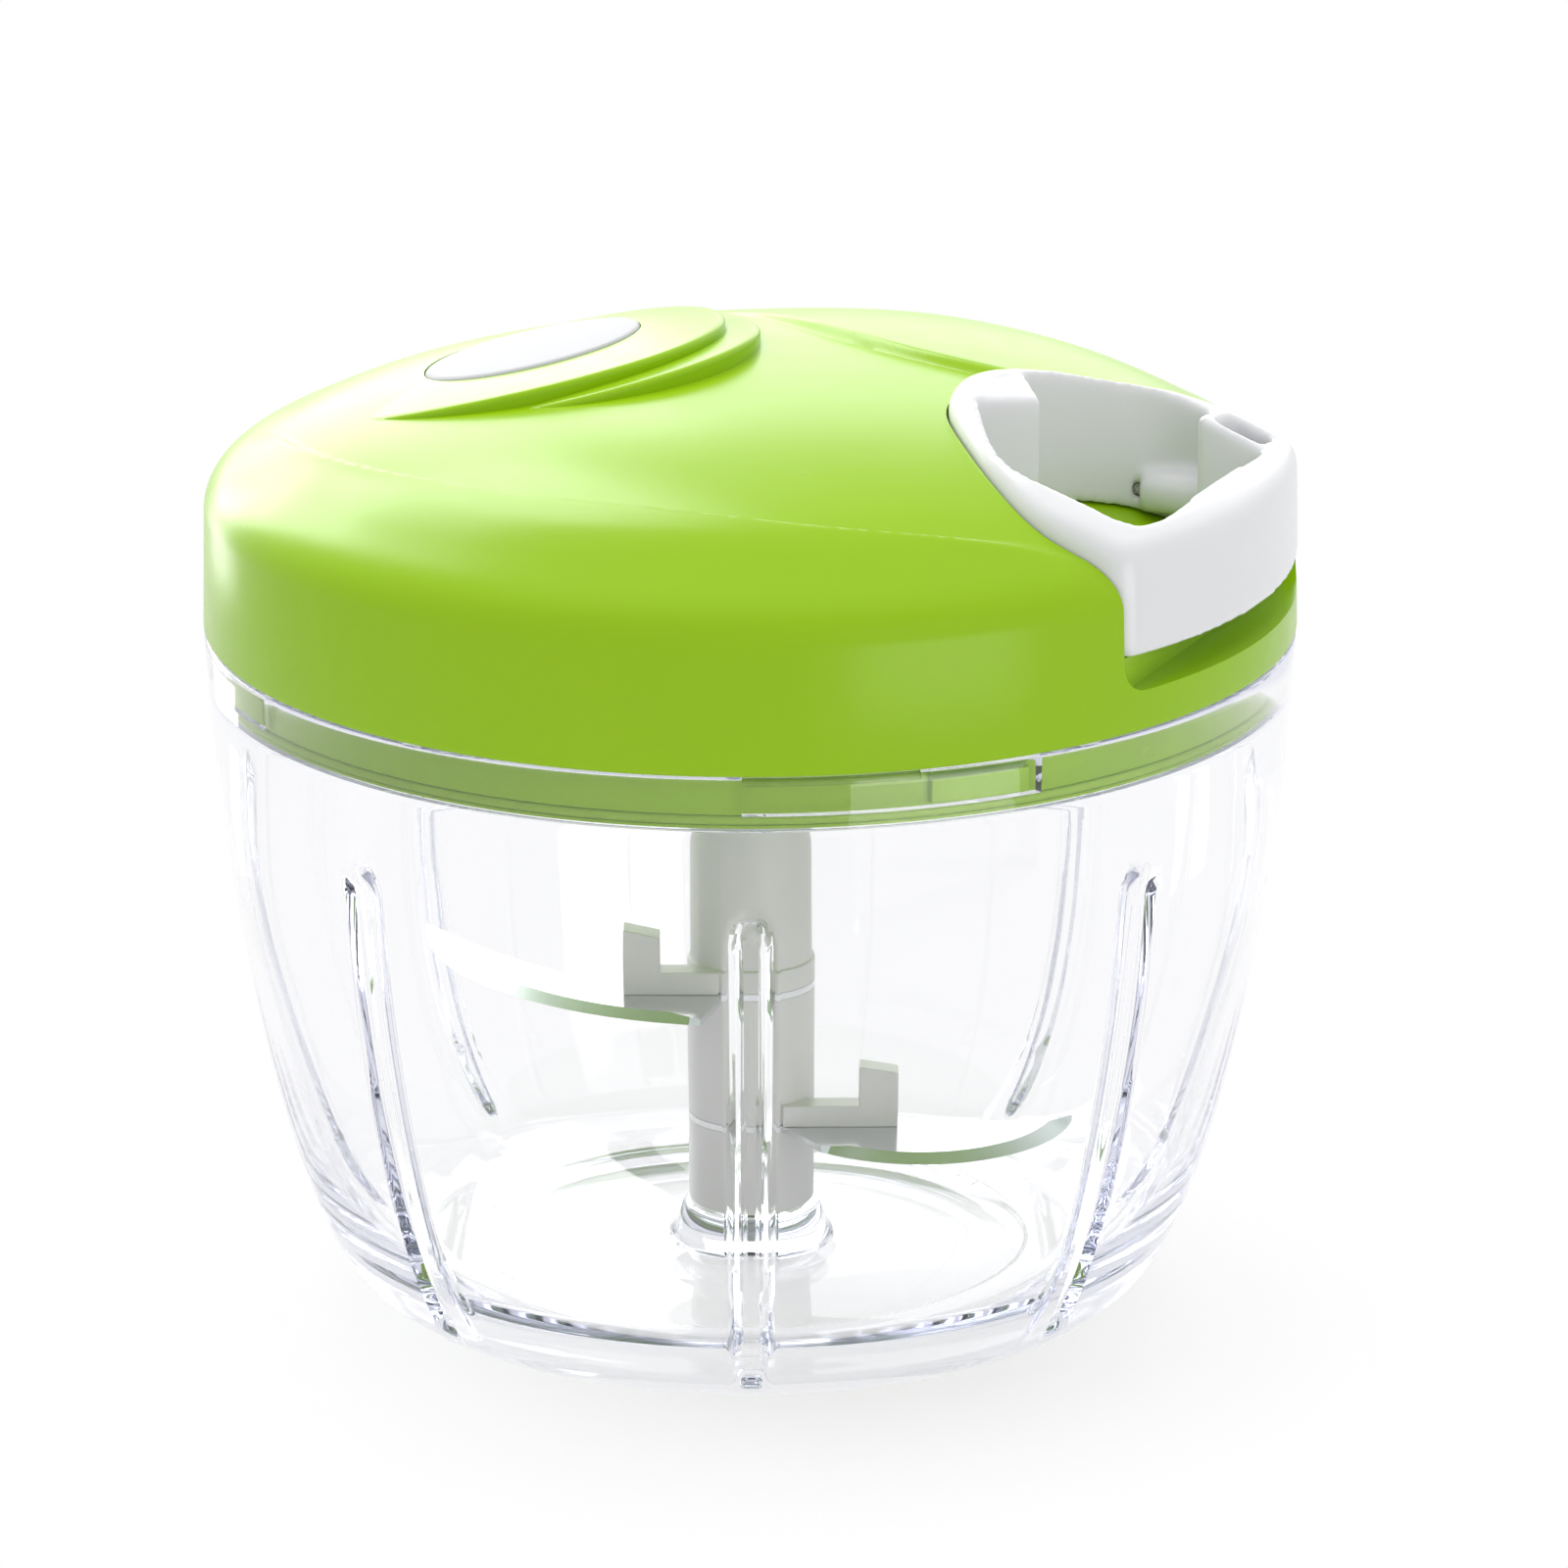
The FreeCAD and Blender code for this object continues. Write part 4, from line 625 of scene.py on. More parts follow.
def ease(value: np.ndarray | float, low: float, high: float) -> np.ndarray | float:
    """Rises smoothly from 0 at low to 1 at high."""
    share = np.clip((value - low) / (high - low), 0.0, 1.0)
    return share * share * (3.0 - 2.0 * share)


def turned(corners: Sequence[tuple[float, ...]], steps: int, start_angle: float = 0.0,
           sweep: float = 360.0, closed: bool = False) -> bmesh.types.BMesh:
    """Spins an outline about Z, after rounding its corners.

    Args:
        corners: The outline's points: radius, level and, where a corner is rounded, its size.
        steps: How many steps the turn has.
        start_angle: Where the outline stands at first, in degrees.
        sweep: How far it turns, in degrees.
        closed: Whether the outline's last point joins its first.

    Returns:
        The turned shape, in metres, with its faces pointing outwards.
    """
    bm = bmesh.new()
    verts = [bm.verts.new((corner[0] * MM, 0.0, corner[1] * MM)) for corner in corners]
    for first, second in zip(verts, verts[1:]):
        bm.edges.new((first, second))
    if closed:
        bm.edges.new((verts[-1], verts[0]))
    for vert, corner in zip(verts, corners):
        if len(corner) > 2:
            bmesh.ops.bevel(bm, geom=[vert], offset=corner[2] * MM, affect="VERTICES",
                            segments=ROUNDING_FACES, profile=0.5, material=-1)
    full = sweep >= 360.0
    if closed and not full:
        bmesh.ops.contextual_create(bm, geom=list(bm.edges))
    bmesh.ops.rotate(bm, verts=list(bm.verts), cent=ORIGIN,
                     matrix=Matrix.Rotation(math.radians(start_angle), 3, "Z"))
    geometry = list(bm.verts) + list(bm.edges) + list(bm.faces)
    bmesh.ops.spin(bm, geom=geometry, cent=ORIGIN, axis=UP, angle=math.radians(sweep), steps=steps,
                   use_merge=full, use_duplicate=False)
    bmesh.ops.remove_doubles(bm, verts=list(bm.verts), dist=MERGE_GAP)
    bmesh.ops.recalc_face_normals(bm, faces=list(bm.faces))
    return bm


def block(low: Sequence[float], high: Sequence[float]) -> bmesh.types.BMesh:
    """Makes a box.

    Args:
        low: Its lowest corner, in millimetres.
        high: Its highest corner, in millimetres.

    Returns:
        The box, in metres.
    """
    bm = bmesh.new()
    bmesh.ops.create_cube(bm, size=1.0)
    size = [(b - a) * MM for a, b in zip(low, high)]
    middle = [(a + b) * MM / 2 for a, b in zip(low, high)]
    bmesh.ops.scale(bm, vec=size, verts=list(bm.verts))
    bmesh.ops.translate(bm, vec=middle, verts=list(bm.verts))
    return bm


def rod(radius: float, start: Sequence[float], end: Sequence[float],
        sides: int = 48) -> bmesh.types.BMesh:
    """Makes a round rod.

    Args:
        radius: Its radius in millimetres.
        start: The middle of its first end, in millimetres.
        end: The middle of its other end, in millimetres.
        sides: How many sides it has.

    Returns:
        The rod, in metres.
    """
    bm = bmesh.new()
    a, b = Vector(start) * MM, Vector(end) * MM
    turn = (b - a).to_track_quat("Z", "Y").to_matrix().to_4x4()
    bmesh.ops.create_cone(bm, cap_ends=True, segments=sides, radius1=radius * MM, radius2=radius * MM,
                          depth=(b - a).length, matrix=Matrix.Translation((a + b) / 2) @ turn)
    return bm


def raised(outline: Sequence[Point2], low: float, high: float) -> bmesh.types.BMesh:
    """Raises a flat outline into an upright block.

    Args:
        outline: The outline's corners, in order.
        low: The level of its foot.
        high: The level of its top.

    Returns:
        The block, in metres.
    """
    bm = bmesh.new()
    verts = [bm.verts.new((x * MM, y * MM, low * MM)) for x, y in outline]
    face = bm.faces.new(verts)
    grown = bmesh.ops.extrude_face_region(bm, geom=[face])
    top = [item for item in grown["geom"] if isinstance(item, bmesh.types.BMVert)]
    bmesh.ops.translate(bm, vec=(0.0, 0.0, (high - low) * MM), verts=top)
    bmesh.ops.recalc_face_normals(bm, faces=list(bm.faces))
    return bm


def reshape(bm: bmesh.types.BMesh, move: Callable[[np.ndarray], np.ndarray]) -> None:
    """Moves all vertices of a shape at once.

    Args:
        bm: The shape.
        move: Takes the vertices' places in millimetres, one a row, and gives their new ones.
    """
    places = np.array([vert.co for vert in bm.verts], float) / MM
    for vert, place in zip(bm.verts, move(places) * MM):
        vert.co = place


def as_piece(bm: bmesh.types.BMesh, name: str, crease: float = 35.0) -> bpy.types.Object:
    """Turns a shape into an object, smooth but for its creases.

    Args:
        bm: The shape, which is used up.
        name: The object's name.
        crease: Edges sharper than this angle stay sharp, in degrees.

    Returns:
        The object, at the origin.
    """
    mesh = bpy.data.meshes.new(name)
    bm.to_mesh(mesh)
    bm.free()
    mesh.polygons.foreach_set("use_smooth", [True] * len(mesh.polygons))
    mesh.set_sharp_from_angle(angle=math.radians(crease))
    piece = bpy.data.objects.new(name, mesh)
    bpy.context.scene.collection.objects.link(piece)
    return piece


def settle(piece: bpy.types.Object) -> None:
    """Makes a piece's modifiers part of its mesh.

    Args:
        piece: The piece.
    """
    graph = bpy.context.evaluated_depsgraph_get()
    mesh = bpy.data.meshes.new_from_object(piece.evaluated_get(graph))
    old = piece.data
    piece.modifiers.clear()
    piece.data = mesh
    bpy.data.meshes.remove(old)


def reopened(piece: bpy.types.Object) -> bmesh.types.BMesh:
    """Takes a piece's shape back.

    Args:
        piece: The piece, which is used up.

    Returns:
        Its shape.
    """
    bm = bmesh.new()
    bm.from_mesh(piece.data)
    mesh = piece.data
    bpy.data.objects.remove(piece)
    bpy.data.meshes.remove(mesh)
    return bm


def carve(piece: bpy.types.Object, tools: Iterable[bmesh.types.BMesh], way: Carving) -> None:
    """Works a piece with solids, one after another.

    Args:
        piece: The piece that is worked.
        tools: The solids, which are used up.
        way: How each solid works on the piece.
    """
    for tool in tools:
        cutter = as_piece(tool, piece.name + "_tool")
        modifier = piece.modifiers.new("carve", "BOOLEAN")
        modifier.operation = way.value
        modifier.solver = "MANIFOLD"
        modifier.object = cutter
        settle(piece)
        mesh = cutter.data
        bpy.data.objects.remove(cutter)
        bpy.data.meshes.remove(mesh)


@dataclass
class SubAssembly:
    """A group of pieces that are made and finished together."""

    frame: dict
    palette: Palette

    def put(self, piece: bpy.types.Object, finish: object, body: Body, slot: Slot,
            nodes: Sequence[str] = ()) -> bpy.types.Object:
        """Finishes a piece and sets it on its body.

        Args:
            piece: The piece.
            finish: The finish that it gets.
            body: The body that it rides on.
            slot: The record's material slot.
            nodes: The CAD nodes that it stands for.

        Returns:
            The piece.
        """
        piece.data.materials.clear()
        piece.data.materials.append(self.palette(finish))
        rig.ride(piece, body.value)
        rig.slot(piece, slot.value)
        if nodes:
            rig.replaces(piece, *nodes)
        LOG.info("%s rides on %s", piece.name, body.value)
        return piece

    def solid(self, node: str) -> bmesh.types.BMesh:
        """Copies a CAD node's shape.

        Args:
            node: The CAD node.

        Returns:
            The shape, with its loose triangles merged.
        """
        bm = bmesh.new()
        bm.from_mesh(self.frame["nodes"][node].data)
        bmesh.ops.remove_doubles(bm, verts=list(bm.verts), dist=CAD_MERGE_GAP)
        return bm

    def softened(self, node: str, width: float, segments: int = 2) -> bpy.types.Object:
        """Copies a CAD node and rounds the copy's sharp edges.

        Args:
            node: The CAD node.
            width: The rounding's width in millimetres.
            segments: How many faces the rounding has.

        Returns:
            The new piece.
        """
        bm = self.solid(node)
        bmesh.ops.dissolve_limit(bm, angle_limit=math.radians(FLAT_ANGLE), verts=list(bm.verts),
                                 edges=list(bm.edges))
        piece = as_piece(bm, node + "_soft")
        modifier = piece.modifiers.new("edge_round", "BEVEL")
        modifier.width = width * MM
        modifier.segments = segments
        modifier.limit_method = "ANGLE"
        modifier.angle_limit = math.radians(SHARP_ANGLE)
        modifier.harden_normals = True
        modifier.use_clamp_overlap = True
        return piece


def joined(parts: Iterable[bmesh.types.BMesh]) -> bmesh.types.BMesh:
    """Puts several shapes into one.

    Args:
        parts: The shapes, which are used up.

    Returns:
        The shape that holds them all.
    """
    whole = bmesh.new()
    for part in parts:
        mesh = bpy.data.meshes.new("part")
        part.to_mesh(mesh)
        part.free()
        whole.from_mesh(mesh)
        bpy.data.meshes.remove(mesh)
    return whole


def arc_through(first: Point2, middle: Point2, last: Point2, count: int) -> list[Point2]:
    """Gives evenly spaced points on the circle through three points.

    Args:
        first: Where the arc starts.
        middle: A point that it passes.
        last: Where it ends.
        count: How many points it has.

    Returns:
        The arc's points, both ends included.
    """
    a, b, c = complex(*first), complex(*middle), complex(*last)
    w = (c - a) / (b - a)
    centre = (b - a) * (w - abs(w) ** 2) / (2j * w.imag) + a
    start, through, stop = (math.atan2((p - centre).imag, (p - centre).real) for p in (a, b, c))
    sweep = (stop - start) % math.tau
    if (through - start) % math.tau > sweep:
        sweep -= math.tau
    radius = abs(a - centre)
    return [(centre.real + radius * math.cos(start + sweep * i / (count - 1)),
             centre.imag + radius * math.sin(start + sweep * i / (count - 1))) for i in range(count)]


# Bowl


@dataclass
class Bowl(SubAssembly):
    """The clear bowl: one moulding with eight flutes, bayonet tracks and a seat for its pin."""

    rim_level: float = 79.45
    band_radius: float = 60.0
    ledge_radius: float = 58.8
    ledge_level: float = 73.2
    floor_level: float = 3.5
    flute_count: int = 8
    flute_turn: float = -65.0
    flute_depth: float = 1.3
    flute_half_width: float = 1.9
    rib_height: float = 1.1
    rib_half_width: float = 2.5
    flute_top: float = 62.3
    crowding: float = 0.62
    steps: int = 352
    crease: float = 38.0
    track_count: int = 4
    track_turn: float = -41.3
    track_half_angle: float = 6.6
    track_foot: float = 75.2
    entry_top: float = 80.6
    lock_top: float = 78.5
    lock_angle: float = 18.0
    track_radius: float = 61.2
    pin_radius: float = 2.0
    pin_foot: float = 2.6
    pin_top: float = 22.0

    def build(self) -> None:
        """Builds the bowl and its pin."""
        bowl = as_piece(self._walls(), "bowl_clear", crease=self.crease)
        entry = 2 * self.track_half_angle
        for index in range(self.track_count):
            start = self.track_turn + 360.0 / self.track_count * index - self.track_half_angle
            carve(bowl, [self._track(start, entry, self.entry_top),
                         self._track(start - self.lock_angle, entry + self.lock_angle, self.lock_top)],
                  Carving.CUT)
        bowl.data.set_sharp_from_angle(angle=math.radians(self.crease))
        self.put(bowl, self.palette.shelf.clear, Body.BOWL, Slot.CLEAR, ["bowl"])
        pin = turned([(0.0, self.pin_foot), (self.pin_radius, self.pin_foot),
                      (self.pin_radius, self.pin_top, 0.5), (0.0, self.pin_top)], 48)
        self.put(as_piece(pin, "bowl_pin"), self.palette.shelf.turned, Body.BOWL, Slot.STEEL,
                 ["bowl_pivot_pin"])

    def _walls(self) -> bmesh.types.BMesh:
        """Makes the bowl's walls with their flutes and ribs.

        Returns:
            The walls, in metres.
        """
        outside = smooth_run([(37.3, 0.0), (46.75, 3.15), (49.6, 7.5), (54.9, 23.5), (59.6, 48.5),
                              (62.3, self.rim_level)], (0.995, 0.1), (0.04, 1.0), 72)
        inside = smooth_run([(37.0, self.floor_level), (46.2, 8.9), (52.7, 23.5), (57.4, 48.5),
                             (self.ledge_radius, self.ledge_level)], (1.0, 0.05), (0.05, 1.0), 64)
        corners = [(0.0, 0.8), (32.9, 0.8, 0.3), (32.9, 0.0, 0.3), *outside[:-1],
                   (62.3, self.rim_level, 0.45), (self.band_radius, self.rim_level, 0.35),
                   (self.band_radius, self.ledge_level), (self.ledge_radius, self.ledge_level, 0.25),
                   *inside[::-1][1:], (9.3, self.floor_level, 0.9), (7.8, 7.9, 0.7),
                   (self.pin_radius, 7.9), (self.pin_radius, self.pin_foot), (0.0, self.pin_foot)]
        bm = turned(corners, self.steps, self.flute_turn)
        reshape(bm, self._fluted)
        return bm

    def _fluted(self, places: np.ndarray) -> np.ndarray:
        """Gathers the steps at the flutes and presses the flutes into the wall.

        Args:
            places: The vertices' places, one a row.

        Returns:
            Their new places.
        """
        radius = np.hypot(places[:, 0], places[:, 1])
        angle = np.degrees(np.arctan2(places[:, 1], places[:, 0])) - self.flute_turn
        period = 360.0 / self.flute_count
        number = np.round(angle / period)
        share = angle / period - number
        share = (1.0 - self.crowding) * share + 4.0 * self.crowding * share**3
        level = places[:, 2]
        across = np.abs(np.radians(share * period)) * radius
        outer = (radius > 60.9) | (radius > self._inner_radius(level) + 1.0)
        above = level - (self.flute_top - self.flute_half_width)
        away = np.where(above > 0.0, np.hypot(across, above), across)
        groove = self.flute_depth * (1.0 - ease(away, 0.9, self.flute_half_width))
        groove *= ease(level, 3.2, 7.5) * (radius > 34.0) * outer
        above = level - (self.flute_top - self.rib_half_width + 0.6)
        away = np.where(above > 0.0, np.hypot(across, above), across)
        rib = self.rib_height * (1.0 - ease(away, 1.1, self.rib_half_width))
        rib *= (radius > 37.5) * (level > self.floor_level + 0.1) * ~outer * ease(level, 5.0, 9.5)
        radius = radius - groove - rib
        turn = np.radians((number + share) * period + self.flute_turn)
        return np.column_stack([radius * np.cos(turn), radius * np.sin(turn), level])

    @staticmethod
    def _inner_radius(level: np.ndarray) -> np.ndarray:
        """Gives the inner wall's radius at each level."""
        return np.interp(level, [3.4, 4.6, 8.9, 23.5, 48.5, 73.2, 80.0],
                         [36.0, 41.5, 46.2, 52.7, 57.4, 58.8, 60.1])

    def _track(self, start: float, sweep: float, top: float) -> bmesh.types.BMesh:
        """Makes the space of one part of a bayonet track."""
        low, inner, outer = self.track_foot, self.ledge_radius + 0.4, self.track_radius
        return turned([(inner, low), (outer, low), (outer, top), (inner, top)],
                      max(6, int(sweep)), start, sweep, closed=True)


# Blade column


@dataclass
class Column(SubAssembly):
    """The white column that stands on the pin, with its two steel blades."""

    turn: float = 25.0
    radius: float = 7.35
    ring_radius: float = 4.3
    lower_blade_level: float = 19.0
    upper_blade_level: float = 36.8
    thickness: float = 0.8
    ground_width: float = 2.1
    tapering_points: float = 3.0
    ground_slopes: tuple[float, float] = (0.2, 0.995)

    def build(self) -> None:
        """Builds the sleeves, the shaft and the blades."""
        for node in ("lower_sleeve", "middle_sleeve", "upper_sleeve", "spindle_shaft"):
            self.put(self.softened(node, 0.35, 3), self.palette.shelf.white, Body.SPINDLE, Slot.WHITE,
                     [node])
        upper = [(-5.7, -16.5), (-27.3, -5.3), (-38.5, 21.0), (-27.3, 6.9), (-15.2, -3.6)]
        lower = [(8.0, -13.6), (21.5, -17.9), (37.5, -4.0), (27.0, -5.6), (17.4, -3.6)]
        self._blade("upper_blade", upper, -1.0, self.upper_blade_level)
        self._blade("lower_blade", lower, 1.0, self.lower_blade_level)

    def _blade(self, node: str, corners: Sequence[Point2], side: float, level: float) -> None:
        """Builds one blade with a ground cutting edge.

        Args:
            node: The CAD node that it stands for.
            corners: Heel, belly, tip, back and root in the column's own axes.
            side: Which side of the column it sweeps to.
            level: The level of its lower face.
        """
        heel, belly, tip, back, root = corners
        cutting = arc_through(heel, belly, tip, 40)
        rear = arc_through(tip, back, root, 32)
        near_root = (side * self.radius * 0.35, -self.radius * 0.7)
        far_root = (side * self.radius * 0.8, 0.0)
        top = level + self.thickness
        bm = raised([near_root, *cutting, *rear[1:], far_root], level, top)
        line, near = np.array(cutting), 0.01
        middle = np.mean(np.array([*cutting, *rear]), axis=0)

        def ground(places: np.ndarray) -> np.ndarray:
            """Leans the top face's edge inwards along the cutting arc.

            Args:
                places: The vertices' places, one a row.

            Returns:
                Their new places.
            """
            moved = places.copy()
            for row, place in enumerate(places):
                gaps = np.hypot(*(line - place[:2]).T)
                at = int(np.argmin(gaps))
                if gaps[at] > near or place[2] < top - near:
                    continue
                along = line[min(at + 1, len(line) - 1)] - line[max(at - 1, 0)]
                inward = np.array([-along[1], along[0]]) / np.hypot(*along)
                inward *= math.copysign(1.0, float(inward @ (middle - place[:2])))
                from_end = min(at, len(line) - 1 - at) / self.tapering_points
                moved[row, :2] += inward * self.ground_width * min(1.0, from_end)
            return moved

        reshape(bm, ground)
        bmesh.ops.triangulate(bm, faces=[face for face in bm.faces if len(face.verts) > 4])
        blade = as_piece(bm, node + "_ground", crease=12.0)
        ring = as_piece(turned([(self.ring_radius, level), (self.radius, level), (self.radius, top),
                                (self.ring_radius, top)], 64, closed=True), node + "_ring")
        shelf = self.palette.shelf
        for piece, nodes in ((blade, [node]), (ring, [])):
            piece.data.transform(Matrix.Rotation(math.radians(self.turn), 4, "Z"))
            self.put(piece, shelf.blade, Body.SPINDLE, Slot.BLADE, nodes)
        blade.data.materials.append(self.palette(shelf.ground_edge))
        for face in blade.data.polygons:
            if self.ground_slopes[0] < face.normal.z < self.ground_slopes[1] and face.area > 0:
                face.material_index = 1


# Lid


@dataclass
class LidForm:
    """The lid's shared forms: its dome, its tiers and the outline of the handle."""

    wall_radius: float = 61.95
    foot_radius: float = 62.35
    foot_level: float = 79.75
    wall_level: float = 93.45
    crown_level: float = 106.4
    handle_foot: float = 88.2
    handle_heel: float = 50.0
    handle_slope: float = 0.33
    handle_reach: float = 75.0
    above_lid: float = 130.0
    seat_gap: float = 0.35
    screw_circle: float = 52.0
    screw_angles: tuple[float, ...] = (60.0, 135.0, -60.0, -135.0)

    def __post_init__(self) -> None:
        """Draws the dome's line once."""
        self.dome_line = smooth_run(
            [(0.0, 108.6), (34.0, self.crown_level), (50.0, 102.25), (56.4, 99.4), (60.9, 96.3),
             (self.wall_radius, self.wall_level)], (1.0, 0.0), (0.03, -1.0), 132)
        self.dome_radii = [point[0] for point in self.dome_line]
        self.dome_levels = [point[1] for point in self.dome_line]

    def dome(self, x: np.ndarray, y: np.ndarray) -> np.ndarray:
        """Gives the plain dome's level over a point of the lid."""
        return np.interp(np.hypot(x, y), self.dome_radii, self.dome_levels)

    def leaning(self, x: np.ndarray, y: np.ndarray, hinge: float, angle: float) -> np.ndarray:
        """Gives the level of the dome after it has turned about a line across the lid.

        Args:
            x: Where the level is wanted.
            y: Where the level is wanted.
            hinge: How far the line stands from the centre, towards -X.
            angle: How far the dome turns, in degrees, its +X side upwards.

        Returns:
            The leaning dome's levels.
        """
        sine, cosine = math.sin(math.radians(angle)), math.cos(math.radians(angle))
        along = x + hinge
        before = along.copy()
        for _ in range(8):
            height = self.dome(before - hinge, y) - self.crown_level
            before = (along + height * sine) / cosine
        height = self.dome(before - hinge, y) - self.crown_level
        return self.crown_level + before * sine + height * cosine

    def step(self, x: np.ndarray, y: np.ndarray) -> np.ndarray:
        """Gives the level of the lower tier's face."""
        return self.leaning(x, y, 17.0, 7.6)

    def tier(self, x: np.ndarray, y: np.ndarray) -> np.ndarray:
        """Gives the level of the upper tier's face."""
        return self.leaning(x, y, 36.0, 5.2)

    def screw_places(self) -> list[Point2]:
        """Gives where the four screws stand."""
        return [(self.screw_circle * math.cos(math.radians(angle)),
                 self.screw_circle * math.sin(math.radians(angle))) for angle in self.screw_angles]

    def handle_line(self, grow: float) -> list[Point2]:
        """Draws the handle's outline, seen from above, out past the lid's wall.

        Args:
            grow: How far it moves outwards.

        Returns:
            The outline's corners, in order.
        """
        points = [(25.6, 0.0), (32.1, 13.2), (40.4, 21.9), (48.5, 25.7)]
        leans = [(0.0, 1.0), (0.62, 0.78), (0.83, 0.56), (1.0, 0.0)]
        grown = [(x - lean[1] * grow, y + lean[0] * grow) for (x, y), lean in zip(points, leans)]
        side = smooth_run(grown, (0.0, 1.0), (1.0, 0.0), 48)
        upper = [*side, (self.handle_reach, side[-1][1])]
        return upper + [(x, -y) for x, y in upper[:0:-1]]

    def below_slope(self, drop: float) -> bmesh.types.BMesh:
        """Makes the space under the handle's sloping foot.

        Args:
            drop: How far that foot is lowered.

        Returns:
            The space, as a solid.
        """
        foot = self.handle_foot - drop
        tip = foot + self.handle_heel * self.handle_slope
        bm = raised([(0.0, foot - 10.0), (self.handle_heel, foot - 10.0), (self.handle_heel, foot),
                     (0.0, tip)], -72.0, 72.0)
        reshape(bm, lambda places: places[:, [0, 2, 1]])
        bmesh.ops.recalc_face_normals(bm, faces=list(bm.faces))
        return bm

    def handle_space(self, grow: float, low: float, drop: float) -> bmesh.types.BMesh:
        """Makes the open space round the handle, above its sloping foot.

        Args:
            grow: How far it stands off the handle's outline.
            low: The level of its floor.
            drop: How far it reaches below the sloping foot.

        Returns:
            The space, as a solid.
        """
        space = as_piece(raised(self.handle_line(grow), low, self.above_lid), "handle_space")
        carve(space, [self.below_slope(drop)], Carving.CUT)
        return reopened(space)


def oval_plug(centre: float, half_width: float, half_length: float, top: Surface, foot: Surface,
              rounding: float = 0.0) -> bmesh.types.BMesh:
    """Makes an upright oval plug between two curved surfaces.

    Args:
        centre: How far its centre stands towards -X.
        half_width: Half its size along X.
        half_length: Half its size along Y.
        top: The surface that its top follows.
        foot: The surface that its foot follows.
        rounding: How round its top edge is.

    Returns:
        The plug.
    """
    scale, steps = 20.0, 200
    reach = min(half_width, half_length)
    rings = [index / 34 * (1.0 - 1.6 * rounding / reach) for index in range(35)]
    rings += [1.0 - rounding / reach * (1.0 - math.sin(math.pi / 2 * k / 6)) for k in range(7)]
    corners = [(share * scale, scale) for share in rings[:-1]] + [(scale, scale), (scale, 0.0)]
    corners += [(share * scale, 0.0) for share in (0.8, 0.6, 0.4, 0.2, 0.0)]
    bm = turned(corners, steps)

    def lay(places: np.ndarray) -> np.ndarray:
        """Lays the plug's points on its two surfaces.

        Args:
            places: The points' places, one a row.

        Returns:
            Their new places.
        """
        share = np.hypot(places[:, 0], places[:, 1]) / scale
        x = places[:, 0] / scale * half_width - centre
        y = places[:, 1] / scale * half_length
        height = top(x, y)
        if rounding:
            away = np.clip(rounding - (1.0 - share) * reach, 0.0, rounding)
            height = height - rounding + np.sqrt(np.maximum(rounding**2 - away**2, 0.0))
        low = foot(x, y)
        return np.column_stack([x, y, np.where(places[:, 2] > scale / 2, height, low)])

    reshape(bm, lay)
    return bm


